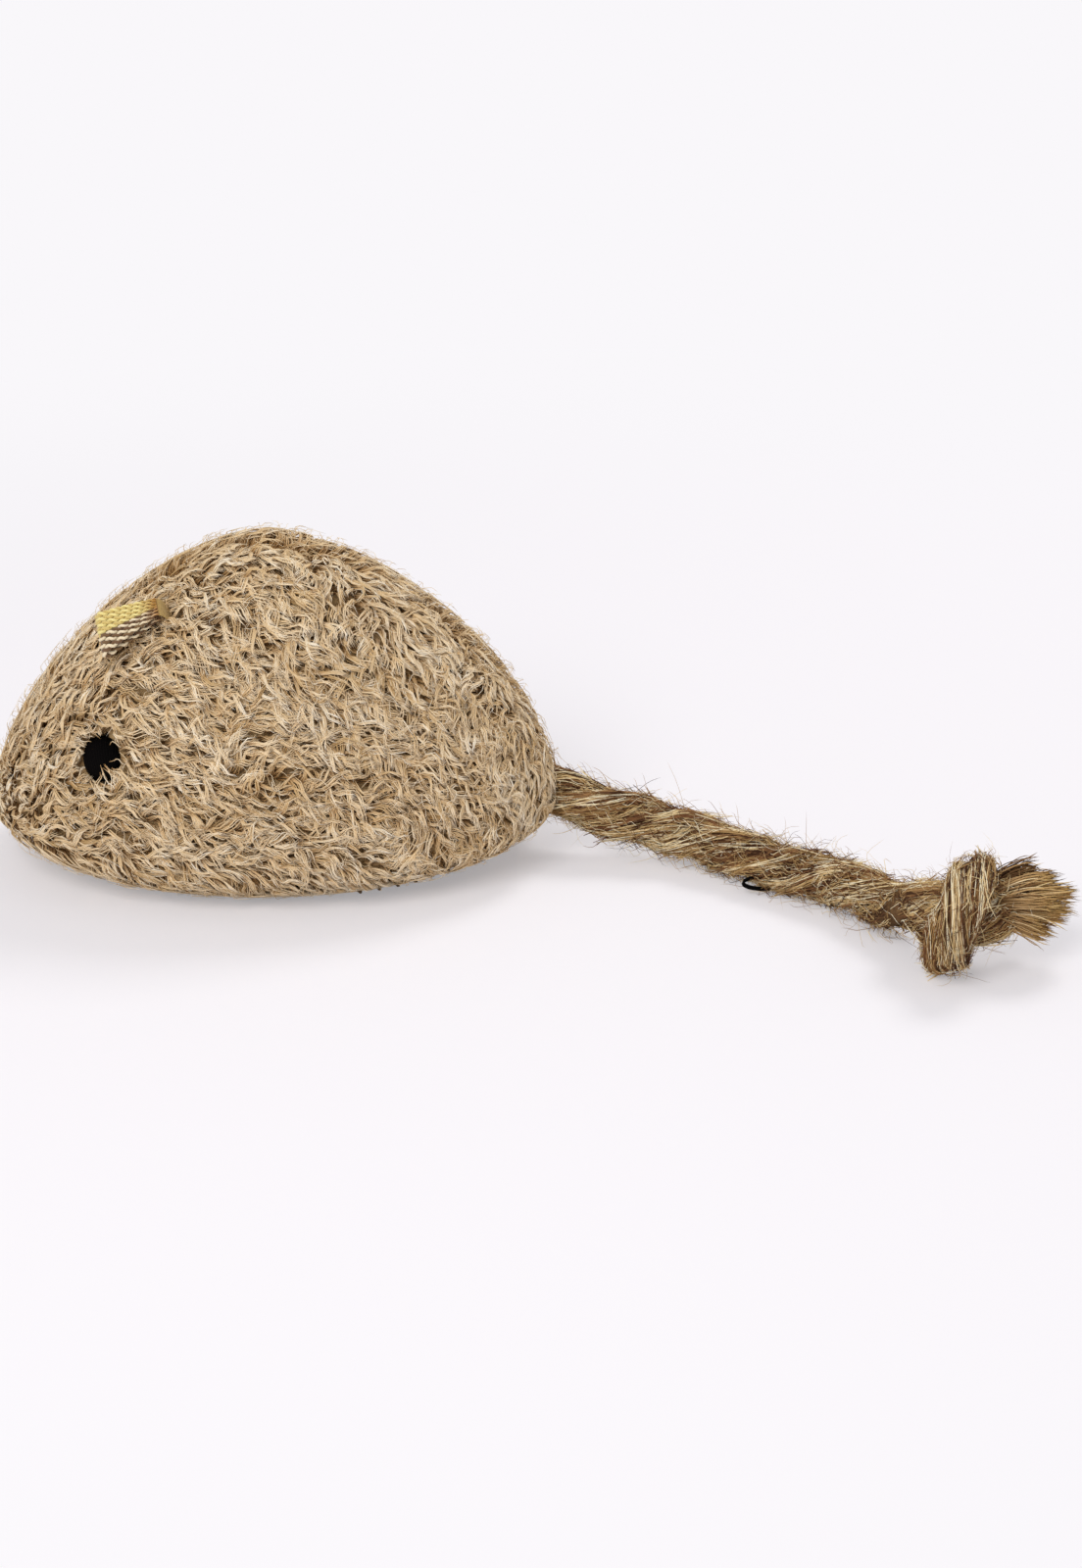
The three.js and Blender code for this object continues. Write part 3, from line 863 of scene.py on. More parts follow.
@dataclass
class Obstacle:
    """Something that pile is trimmed at: a frame and a test in its own axes."""

    frame: Matrix
    holds: Callable[[Array], Array]

    def inside(self, points: Array) -> Array:
        """Say which points are in the obstacle."""
        return self.holds(placed(points, self.frame.inverted()))


@dataclass(frozen=True)
class SeamRun:
    """One run of stitches round the base, between two half turns."""

    name: str
    node: str
    slot: str
    start: float
    end: float
    tint: float = 0.75
    pitch: float = 3.2 * MM
    throw: float = 0.4 * MM
    rise: float = 0.5
    radius: float = 0.18 * MM


@dataclass
class Base:
    """The sewn base: a pale cloth panel, its rolled hem and the stitches round it."""

    wardrobe: Wardrobe
    form: BodyForm
    length: float = 50 * MM
    width: float = 34 * MM
    plan: float = 2.15
    thickness: float = 1.2 * MM
    crown_power: float = 0.7
    panel_segments: tuple[int, int] = (80, 20)
    hem_out: float = 0.9 * MM
    hem_radius: float = 0.35 * MM
    hem_height: float = 0.15 * MM
    hem_points: int = 241
    hem_sides: int = 10
    seam_share: float = 0.6
    seam_points: int = 400
    stitch_level: float = 0.15 * MM
    stitch_bow: float = 0.6 * MM
    runs: tuple[SeamRun, ...] = (
        SeamRun("left_base_seam", "left_base_seam_thread", "sewing_thread", 1.0, 1.58),
        SeamRun("right_base_seam", "right_base_seam_thread", "sewing_thread", 0.0, 1.0),
        SeamRun(
            "closing_seam", "closing_stitches", "dark_thread", 1.62, 2.0,
            tint=0.08, pitch=2.4 * MM, throw=0.9 * MM, rise=0.9, radius=0.24 * MM,
        ),
    )

    def covers(self, points: Array, margin: float) -> Array:
        """Say which places lie under the panel.

        Args:
            points: The places.
            margin: Width of the strip round the panel that counts too.

        Returns:
            True for each place under it.
        """
        x = np.abs(points[:, 0]) / (self.length / 2 + margin)
        y = np.abs(points[:, 1]) / (self.width / 2 + margin)
        return (x**self.plan + y**self.plan < 1) & (points[:, 2] < self.form.widest)

    def outline(self, turns: Array, outset: float, above: float) -> Array:
        """Give points round the base.

        Args:
            turns: Angles round it, from the tail end.
            outset: How far outside the panel's edge.
            above: Height over the form's underside.

        Returns:
            The points.
        """
        plan = self.form.plan(np.cos(turns) < 0)
        x = round_off(np.cos(turns), plan) * (self.length / 2 + outset)
        y = round_off(np.sin(turns), plan) * (self.width / 2 + outset)
        return np.stack([x, y, self.form.floor_under(x, y) + above], -1)

    def build(self) -> None:
        """Make the panel, its hem and its seams."""
        shape = bmesh.new()
        around, across = self.panel_segments
        bmesh.ops.create_uvsphere(shape, u_segments=around, v_segments=across, radius=1.0)
        for vert in shape.verts:
            turn = math.atan2(vert.co.y, vert.co.x)
            edge = self.outline(np.array([turn]), 0.0, 0.0)[0] * math.hypot(vert.co.x, vert.co.y)
            crown = 0.5 + 0.5 * np.sign(vert.co.z) * abs(vert.co.z) ** self.crown_power
            height = float(self.form.floor_under(edge[0], edge[1])) + self.thickness * crown
            vert.co = Vector((edge[0], edge[1], height))
        bmesh.ops.recalc_face_normals(shape, faces=shape.faces)
        panel = from_shape(shape, "base_cloth", self.wardrobe("base_cloth"))
        sew_on(panel, "base_cloth", "base_panel")

        ring = self.outline(np.linspace(0, 2 * np.pi, self.hem_points), self.hem_out, self.hem_height)
        radii = even(1, self.hem_points, self.hem_radius)
        tints = np.array([0.5])
        hem = strands("base_hem", ring[None], radii, tints, self.hem_sides, self.wardrobe("base_cloth"))
        sew_on(hem, "base_cloth")
        for run in self.runs:
            self.build_seam(run)

    def build_seam(self, run: SeamRun) -> None:
        """Make one run of stitches of the base seam.

        Args:
            run: The run.
        """
        turn = np.linspace(run.start * np.pi, run.end * np.pi, self.seam_points)
        line = self.outline(turn, self.hem_out * self.seam_share, self.hem_height)
        phase = 2 * np.pi * steps_along(line) / run.pitch
        line = line + unit(line * np.array([1, 1, 0])) * (run.throw * np.sin(phase))[:, None]
        line[:, 2] += (self.stitch_level + self.stitch_bow * np.cos(phase)) * run.rise
        radii = even(1, self.seam_points, run.radius)
        piece = strands(run.name, line[None], radii, np.array([run.tint]), 6, self.wardrobe("thread"))
        sew_on(piece, run.slot, run.node)


@dataclass
class Plush:
    """The stuffed body: cloth halves, their pile and the back seam."""

    wardrobe: Wardrobe
    form: BodyForm
    base: Base
    rng: np.random.Generator
    skin_depth: float = 1.45 * MM
    skin_floor: float = 1.6 * MM
    skin_segments: tuple[int, int] = (72, 48)
    half_gap: float = 0.05 * MM
    cloth: float = 0.5 * MM
    base_margin: float = 0.4 * MM
    kinds: tuple[HairKind, ...] = (
        HairKind(
            9800, 5, (3.6 * MM, 7.0 * MM), (1.4 * MM, 3.1 * MM), 0.44 * MM, 0.13, 0.088 * MM,
            (-0.35 * MM, 0.05 * MM, 0.45 * MM), nose_locks=260,
        ),
        HairKind(
            6000, 1, (2.0 * MM, 4.6 * MM), (2.4 * MM, 4.0 * MM), 0.3 * MM, 0.6, 0.036 * MM,
            (0.4 * MM, 0.8 * MM, 1.3 * MM), 0.15,
        ),
    )
    hair_points: int = 6
    hair_taper: Profile = ((0, 0.5, 0.8, 1), (0.9, 1, 0.8, 0.0))
    hair_scale: Span = (0.78, 1.08)
    hair_arch: float = 0.58
    lock_gather: float = 0.66
    lock_splay: float = 0.6
    wave: float = math.radians(42)
    wave_strength: Span = (0.65, 1.2)
    wave_periods: Span = (0.8, 1.15)
    wave_ripple: float = 7 * MM
    wave_shift: Span = (3.5, 0.3)
    wave_settle: float = 0.6
    floor: Span = (0.2 * MM, 1.0 * MM)
    regions: int = 5
    lays: tuple[PileLay, ...] = tuple(PileLay(*row) for row in (
        (-33, 12, 5), (-28, 18, 20), (-25, 27, -10), (-27, 8, -12), (-15, 14, -8),
        (-17, 25, -38), (-11, 24, -52), (-10, 32, -32), (-8, 40, -25), (-5, 20, -15),
        (-1, 22, 38), (0, 39, -62), (5, 33, -58), (4, 22, -5), (9, 20, -38),
        (12, 34, -42), (19, 28, -52), (15, 20, -20), (-2, 10, 14), (10, 10, -15),
        (22, 14, -40), (29, 18, -72), (-12, 3, -62), (2, 2, -78), (18, 3, -60),
        (30, 7, -35),
    ))
    lay_reach: float = 5.0
    calm_below: float = 6 * MM
    calm_over: float = 5 * MM
    calm_turn: float = 0.6
    curl_front: float = 0.3
    curl_gain: float = 0.3
    curl_over: float = 25 * MM
    broad_ripple: float = 13 * MM
    fine_ripple: float = 5 * MM
    fine_turn: float = 0.16
    lift_ripple: float = 4 * MM
    lift_change: float = 0.2
    tint_ripple: float = 9 * MM
    tint_change: float = 0.1
    tint_middle: float = 0.46
    tint_spread: float = 0.12
    hair_tint_spread: float = 0.15
    low_paler: float = 0.1
    ripple_waves: int = 6
    ripple_scale: float = 2.4
    nose_end: float = -0.9995
    nose_share: float = 0.035
    nose_tip: float = -31 * MM
    nose_over: float = 2.5 * MM
    nose_shorter: float = 0.5
    scatter_rows: int = 161
    scatter_columns: int = 241
    scatter_edge: float = 0.998
    trim_steps: int = 4
    trim_least: float = 0.3
    seam_span: Span = (-0.9, 0.88)
    seam_points: int = 260
    seam_stitches: int = 24
    seam_radius: float = 0.2 * MM
    seam_tint: float = 0.7

    def heading(self, points: Array) -> Array:
        """Give the brushed direction at places on the skin.

        Args:
            points: The places.

        Returns:
            Angles in radians: 0 is towards the tail and a quarter turn is up.
        """
        side_view = points[:, [0, 2]] / MM
        places = np.array([(lay.x, lay.z) for lay in self.lays])
        turns = np.radians([lay.heading for lay in self.lays])
        gap = np.sum((side_view[:, None] - places[None]) ** 2, -1)
        weight = np.exp(-gap / (2 * self.lay_reach**2)) + 1e-6
        return np.arctan2(weight @ np.sin(turns), weight @ np.cos(turns))

    def ripple(self, points: Array, wavelength: float) -> Array:
        """Give a smooth random value at places on the skin.

        Args:
            points: The places.
            wavelength: How far apart its crests are.

        Returns:
            Values from about -1 to 1.
        """
        waves = unit(self.rng.normal(size=(self.ripple_waves, 3))) * 2 * np.pi / wavelength
        phases = self.rng.uniform(0, 2 * np.pi, self.ripple_waves)
        return np.sin(points @ waves.T + phases).sum(-1) / self.ripple_scale

    def scatter(self, form: BodyForm, count: int) -> tuple[Array, Array]:
        """Spread places evenly over a form.

        Args:
            form: The form.
            count: How many places.

        Returns:
            Stations and angles of the places.
        """
        edge = np.sin(np.linspace(-np.pi / 2, np.pi / 2, self.scatter_rows)) * self.scatter_edge
        turn = np.linspace(-np.pi / 2, 3 * np.pi / 2, self.scatter_columns)
        grid = form.point(edge[:, None], turn[None])
        one = grid[1:, :-1] - grid[:-1, :-1]
        two = grid[:-1, 1:] - grid[:-1, :-1]
        area = np.linalg.norm(np.cross(one, two), axis=-1)
        total = np.concatenate([[0], np.cumsum(area.ravel())])
        marks = (np.arange(count) + self.rng.uniform(0, 1, count)) / count * total[-1]
        cell = np.clip(np.searchsorted(total, marks) - 1, 0, area.size - 1)
        row, column = np.divmod(cell, area.shape[1])
        share = self.rng.uniform(0, 1, (2, count))
        stations = edge[row] + share[0] * (edge[row + 1] - edge[row])
        angles = turn[column] + share[1] * (turn[column + 1] - turn[column])
        return stations, angles

    def skin_form(self) -> BodyForm:
        """Give the form of the cloth that the pile grows from."""
        return self.form.inset(self.skin_depth, self.skin_floor)

    def plant(self, kind: HairKind) -> Axes:
        """Choose where locks of hair grow.

        Args:
            kind: The kind of hair.

        Returns:
            The roots, and the directions to the tail, down the flank and out of the skin there.
        """
        stations, angles = self.scatter(self.skin_form(), kind.locks)
        nose = self.rng.uniform(0, 1, (2, kind.nose_locks))
        stations = np.concatenate([stations, self.nose_end + self.nose_share * nose[0]])
        angles = np.concatenate([angles, 2 * np.pi * nose[1]])
        axes = self.skin_form().axes(stations, angles)
        keep = ~self.base.covers(axes[0], self.base_margin)
        return tuple(values[keep] for values in axes)

    def wave_locks(self, root: Array, length: Array) -> tuple[Array, Array]:
        """Bend locks of hair in waves.

        Args:
            root: Where each lock grows.
            length: Length of each lock.

        Returns:
            How far each lock's points lie ahead of its root and aside of it.
        """
        rng = self.rng
        count = len(root)
        share = np.linspace(0, 1, self.hair_points)
        middle = (share[1:] + share[:-1]) / 2
        broad, own = self.wave_shift
        phase = (broad * self.ripple(root, self.wave_ripple) + rng.normal(0, own, count))[:, None]
        periods = rng.uniform(*self.wave_periods, count)[:, None]
        strength = self.wave * rng.uniform(*self.wave_strength, count)[:, None]
        swing = np.sin(2 * np.pi * periods * middle + phase) - np.sin(phase) * self.wave_settle
        step = length[:, None] / (self.hair_points - 1)
        start = np.zeros((count, 1))
        ahead = np.concatenate([start, np.cumsum(np.cos(strength * swing) * step, 1)], 1)
        aside = np.concatenate([start, np.cumsum(np.sin(strength * swing) * step, 1)], 1)
        return ahead, aside

    def grow(self, kind: HairKind) -> tuple[Array, Array]:
        """Grow locks of hair on the skin.

        Args:
            kind: The kind of hair.

        Returns:
            The hairs' centre lines and their tints.
        """
        rng = self.rng
        root, back, down, out = self.plant(kind)
        count, each = len(root), kind.hairs
        calm = smooth((self.calm_below - root[:, 2]) / self.calm_over)
        curly = self.curl_front + self.curl_gain * smooth(root[:, 0] / self.curl_over)
        swirl = self.ripple(root, self.broad_ripple) * curly * (1 - self.calm_turn * calm)
        turn = self.heading(root) + swirl
        turn += self.fine_turn * self.ripple(root, self.fine_ripple)
        turn += rng.normal(0, kind.wander, count)
        flow = np.cos(turn)[:, None] * back - np.sin(turn)[:, None] * down
        side = np.cross(out, flow)
        tip = smooth((self.nose_tip - root[:, 0]) / self.nose_over)
        length = rng.uniform(*kind.length, count) * (1 - self.nose_shorter * tip)
        lift = rng.uniform(*kind.rise, count)
        lift = lift * (1 + self.lift_change * self.ripple(root, self.lift_ripple))
        tint = self.tint_middle + self.tint_change * self.ripple(root, self.tint_ripple)
        tint = tint + rng.normal(0, self.tint_spread, count) + self.low_paler * calm + kind.paler
        ahead, aside = self.wave_locks(root, length)

        share = np.linspace(0, 1, self.hair_points)
        offset = rng.normal(0, 0.5, (count, each, 2)) * kind.spread
        splay = rng.normal(0, 0.5, (count, each, 2)) * self.lock_splay * kind.spread
        scale = rng.uniform(*self.hair_scale, (count, each))[..., None]
        gather = 1 - self.lock_gather * share * (2 - share)
        along = ahead[:, None] * scale + offset[..., 0, None] * gather + splay[..., 0, None] * share**2
        wide = aside[:, None] * scale + offset[..., 1, None] * gather + splay[..., 1, None] * share**2
        high = np.sin(share * np.pi * self.hair_arch) * lift[:, None, None] * scale
        lines = root[:, None, None] + along[..., None] * flow[:, None, None]
        lines = lines + wide[..., None] * side[:, None, None] + high[..., None] * out[:, None, None]
        tints = tint[:, None] + rng.normal(0, self.hair_tint_spread, (count, each))
        lines = lines.reshape(-1, self.hair_points, 3)
        chance = np.repeat(rng.integers(0, len(kind.margins), count), each)
        for place, margin in enumerate(kind.margins):
            chosen = chance == place
            hull = self.form.inset(-margin, self.form.underside)
            lines[chosen] = hull.draw_in(lines[chosen])
        ground = rng.uniform(*self.floor, len(lines))[:, None]
        lines[..., 2] = np.maximum(lines[..., 2], ground)
        return lines, np.clip(tints, 0.02, 0.98).ravel()

    def trim(self, lines: Array, marks: Array, obstacles: Sequence[Obstacle]) -> tuple[Array, Array]:
        """Cut hairs short where they would enter an obstacle.

        Args:
            lines: Centre lines of the hairs.
            marks: Tint and thickness of each hair.
            obstacles: What they are trimmed at.

        Returns:
            The centre lines and marks of the hairs that are left.
        """
        points = lines.shape[1]
        fine = np.linspace(0, points - 1, self.trim_steps * points)
        low = np.clip(np.floor(fine).astype(int), 0, points - 2)
        part = (fine - low)[None, :, None]
        dense = lines[:, low] * (1 - part) + lines[:, low + 1] * part
        hit = np.zeros(dense.shape[:2], dtype=bool)
        for obstacle in obstacles:
            hit |= obstacle.inside(dense)
        first = np.where(hit.any(1), hit.argmax(1) - 1, dense.shape[1] - 1)
        keep = first >= self.trim_least * dense.shape[1]
        dense, first = dense[keep], first[keep]
        steps = np.linspace(0, 1, points)[None] * first[:, None]
        low = np.clip(np.floor(steps).astype(int), 0, dense.shape[1] - 2)
        part = (steps - low)[..., None]
        rows = np.arange(len(dense))[:, None]
        return dense[rows, low] * (1 - part) + dense[rows, low + 1] * part, marks[keep]

    def build_pile(self, obstacles: Sequence[Obstacle]) -> None:
        """Make the pile, in stretches from the nose to the rump on each side.

        Args:
            obstacles: What the pile is trimmed at.
        """
        grown = [self.grow(kind) for kind in self.kinds]
        lines = np.concatenate([hair for hair, _ in grown])
        tints = np.concatenate([tint for _, tint in grown])
        thick = np.repeat([kind.radius for kind in self.kinds], [len(hair) for hair, _ in grown])
        lines, marks = self.trim(lines, np.stack([tints, thick], 1), obstacles)
        taper = np.interp(np.linspace(0, 1, self.hair_points), *self.hair_taper)
        radii = marks[:, 1, None] * taper
        for side in Side:
            mine = lines[:, 0, 1] * side.value >= 0
            limits = np.quantile(lines[mine, 0, 0], np.linspace(0, 1, self.regions + 1))
            stretch = np.clip(np.searchsorted(limits, lines[:, 0, 0]) - 1, 0, self.regions - 1)
            for region in range(self.regions):
                chosen = mine & (stretch == region)
                name = f"{side.word}_pile_{region + 1}"
                hairs = lines[chosen], radii[chosen], marks[chosen, 0]
                sew_on(strands(name, *hairs, 3, self.wardrobe("pile"), pointed=True), "plush")

    def build_skins(self) -> None:
        """Make the two cloth halves that the pile grows from."""
        form = self.skin_form()
        around, along = self.skin_segments
        for side in Side:
            shape = bmesh.new()
            bmesh.ops.create_uvsphere(shape, u_segments=around, v_segments=along, radius=1.0)
            bmesh.ops.rotate(shape, verts=shape.verts, matrix=Matrix.Rotation(math.pi / 2, 3, "Y"))
            for vert in shape.verts:
                angle = math.atan2(vert.co.z, vert.co.y)
                vert.co = Vector(form.point(np.array(np.clip(vert.co.x, -1, 1)), np.array(angle)))
            bmesh.ops.bisect_plane(
                shape,
                geom=shape.verts[:] + shape.edges[:] + shape.faces[:],
                plane_co=(0, self.half_gap * side.value, 0),
                plane_no=(0, -side.value, 0),
                clear_outer=True,
            )
            bmesh.ops.recalc_face_normals(shape, faces=shape.faces)
            piece = from_shape(shape, f"{side.word}_skin", self.wardrobe("backing"))
            wall = piece.modifiers.new("cloth", "SOLIDIFY")
            wall.thickness = self.cloth
            wall.offset = -1
            sew_on(piece, "plush", f"{side.word}_side_panel")

    def build_back_seam(self) -> None:
        """Make the stitches along the ridge, under the pile."""
        stations = np.linspace(*self.seam_span, self.seam_points)
        line, _, _, out = self.skin_form().axes(stations, np.full(self.seam_points, np.pi / 2))
        dip = np.sin(np.linspace(0, 2 * np.pi * self.seam_stitches, self.seam_points))
        line = line + out * (self.seam_radius * dip)[:, None]
        radii = even(1, self.seam_points, self.seam_radius)
        tints = np.array([self.seam_tint])
        piece = strands("back_seam", line[None], radii, tints, 6, self.wardrobe("thread"))
        sew_on(piece, "sewing_thread", "back_seam_thread")


@dataclass
class Eye:
    """An eye: a pad of black satin stitch sunk in the pile."""

    wardrobe: Wardrobe
    form: BodyForm
    side: Side
    width: float = 5 * MM
    height: float = 5.6 * MM
    place: float = -20.3 * MM
    rise_angle: float = math.radians(27)
    crown: float = 1.0 * MM
    sink: float = 1.3 * MM
    pad_segments: tuple[int, int] = (40, 20)
    stitches: int = 30
    stitch_points: int = 15
    stitch_spread: float = 0.97
    stitch_uneven: Span = (0.8, 1.26)
    stitch_raise: float = 0.06 * MM
    stitch_thick: float = 0.62
    stitch_tints: Span = (0.1, 0.45)
    stitch_change: float = 0.4
    clear_depth: float = 6 * MM
    rim: float = 0.47
    rim_waves: tuple[Point, ...] = ((0.04, 5, 0.7), (0.06, 11, 2), (0.06, 17, 0))
    rim_low: float = 0.14
    rim_low_turn: float = 2.1
    overhang: int = 17
    overhang_points: int = 6
    rear_share: float = 0.75
    rear_turn: Span = (2.35, 0.36)
    front_turn: Span = (-2.1, 0.6)
    rear_begin: Span = (0.16, 0.44)
    front_begin: Span = (0.36, 0.46)
    hair_root: Span = (0.62, 0.86)
    hair_bend: float = 0.25
    hair_wave: float = 0.1
    hair_waves: float = 6
    hair_over: Span = (0.1 * MM, 0.4 * MM)
    hair_climb: float = 0.8
    hair_radius: float = 0.065 * MM
    hair_taper: Profile = ((0, 0.3, 0.7, 1), (0.4, 1, 1, 0.3))
    hair_tints: Span = (0.4, 0.98)

    def seat(self) -> Matrix:
        """Give the eye's axes on the form."""
        angle = math.pi - self.rise_angle if self.side is Side.LEFT else self.rise_angle
        return self.form.seat(self.place, angle)

    def dome(self, x: Array, y: Array) -> Array:
        """Give the height of the pad at places on it."""
        flat = (2 * x / self.width) ** 2 + (2 * y / self.height) ** 2
        return self.crown * np.sqrt(np.maximum(0, 1 - flat)) - self.sink

    def obstacle(self) -> Obstacle:
        """Give the clear space over the eye, which pile only overhangs at its rim.

        Returns:
            The space.
        """
        def holds(local: Array) -> Array:
            """Test a ragged oval that pile overhangs most at its lower rear rim.

            Args:
                local: Points in the eye's axes.

            Returns:
                True for each point in the oval.
            """
            ahead = local[..., 0] / self.width
            down = -self.side.value * local[..., 1] / self.height
            turn = np.arctan2(down, ahead)
            ragged = sum(size * np.sin(count * turn + shift) for size, count, shift in self.rim_waves)
            low = self.rim_low * np.maximum(0, np.cos(turn - self.rim_low_turn)) ** 2
            return (np.hypot(ahead, down) < self.rim + ragged - low) & (local[..., 2] > -self.clear_depth)

        return Obstacle(self.seat(), holds)

    def build(self) -> None:
        """Make the pad, its stitches and the hairs over its rim."""
        seat = self.seat()
        shape = bmesh.new()
        around, across = self.pad_segments
        bmesh.ops.create_uvsphere(shape, u_segments=around, v_segments=across, radius=1.0)
        size = Vector((self.width / 2, self.height / 2, self.crown))
        bmesh.ops.scale(shape, verts=shape.verts, vec=size)
        bmesh.ops.translate(shape, verts=shape.verts, vec=(0, 0, -self.sink))
        bmesh.ops.transform(shape, matrix=seat, verts=shape.verts)
        pad = from_shape(shape, f"{self.side.word}_eye_pad", self.wardrobe("satin"))
        sew_on(pad, "eye_thread", f"{self.side.word}_eye")

        places = np.linspace(-self.stitch_spread, self.stitch_spread, self.stitches)
        share = np.linspace(-1, 1, self.stitch_points)
        half = np.sqrt(1 - places**2)
        uneven = np.random.default_rng(SEED).uniform(*self.stitch_uneven, (self.stitches, 1))
        y = uneven * half[:, None] * share[None] * self.height / 2
        x = np.broadcast_to(places[:, None] * self.width / 2, y.shape)
        lines = placed(np.stack([x, y, self.dome(x, y) + self.stitch_raise], -1), seat)
        tints = np.linspace(*self.stitch_tints, self.stitches)
        tints = tints + self.stitch_change * (np.arange(self.stitches) % 2)
        radii = even(self.stitches, self.stitch_points, self.stitch_thick * self.width / self.stitches)
        threads = strands(f"{self.side.word}_eye_stitches", lines, radii, tints, 6, self.wardrobe("satin"))
        sew_on(threads, "eye_thread")
        self.build_overhang()

    def build_overhang(self) -> None:
        """Make the hairs that lie over the rim of the eye, most of them low at the rear."""
        rng = np.random.default_rng(SEED)
        count = self.overhang
        share = np.linspace(0, 1, self.overhang_points)
        rear = rng.uniform(0, 1, count) < self.rear_share
        turn = np.where(rear, rng.normal(*self.rear_turn, count), rng.normal(*self.front_turn, count))
        begin = np.where(rear, rng.uniform(*self.rear_begin, count), rng.uniform(*self.front_begin, count))
        away = begin[:, None] + (rng.uniform(*self.hair_root, count) - begin)[:, None] * share
        bend = turn[:, None] + rng.normal(0, self.hair_bend, count)[:, None] * share
        phase = self.hair_waves * share + rng.uniform(0, 6, count)[:, None]
        bend = bend + self.hair_wave * np.sin(phase)
        ahead = away * np.cos(bend) * self.width
        down = away * np.sin(bend) * self.height
        above = self.dome(ahead, down) + rng.uniform(*self.hair_over, count)[:, None]
        above = np.maximum(above, (share - self.hair_climb) * MM)
        lines = placed(np.stack([ahead, -self.side.value * down, above], -1), self.seat())
        radii = np.broadcast_to(self.hair_radius * np.interp(share, *self.hair_taper), lines.shape[:2])
        tints = rng.uniform(*self.hair_tints, count)
        piece = strands(f"{self.side.word}_eye_overhang", lines, radii, tints, 4, self.wardrobe("pile"))
        sew_on(piece, "plush")


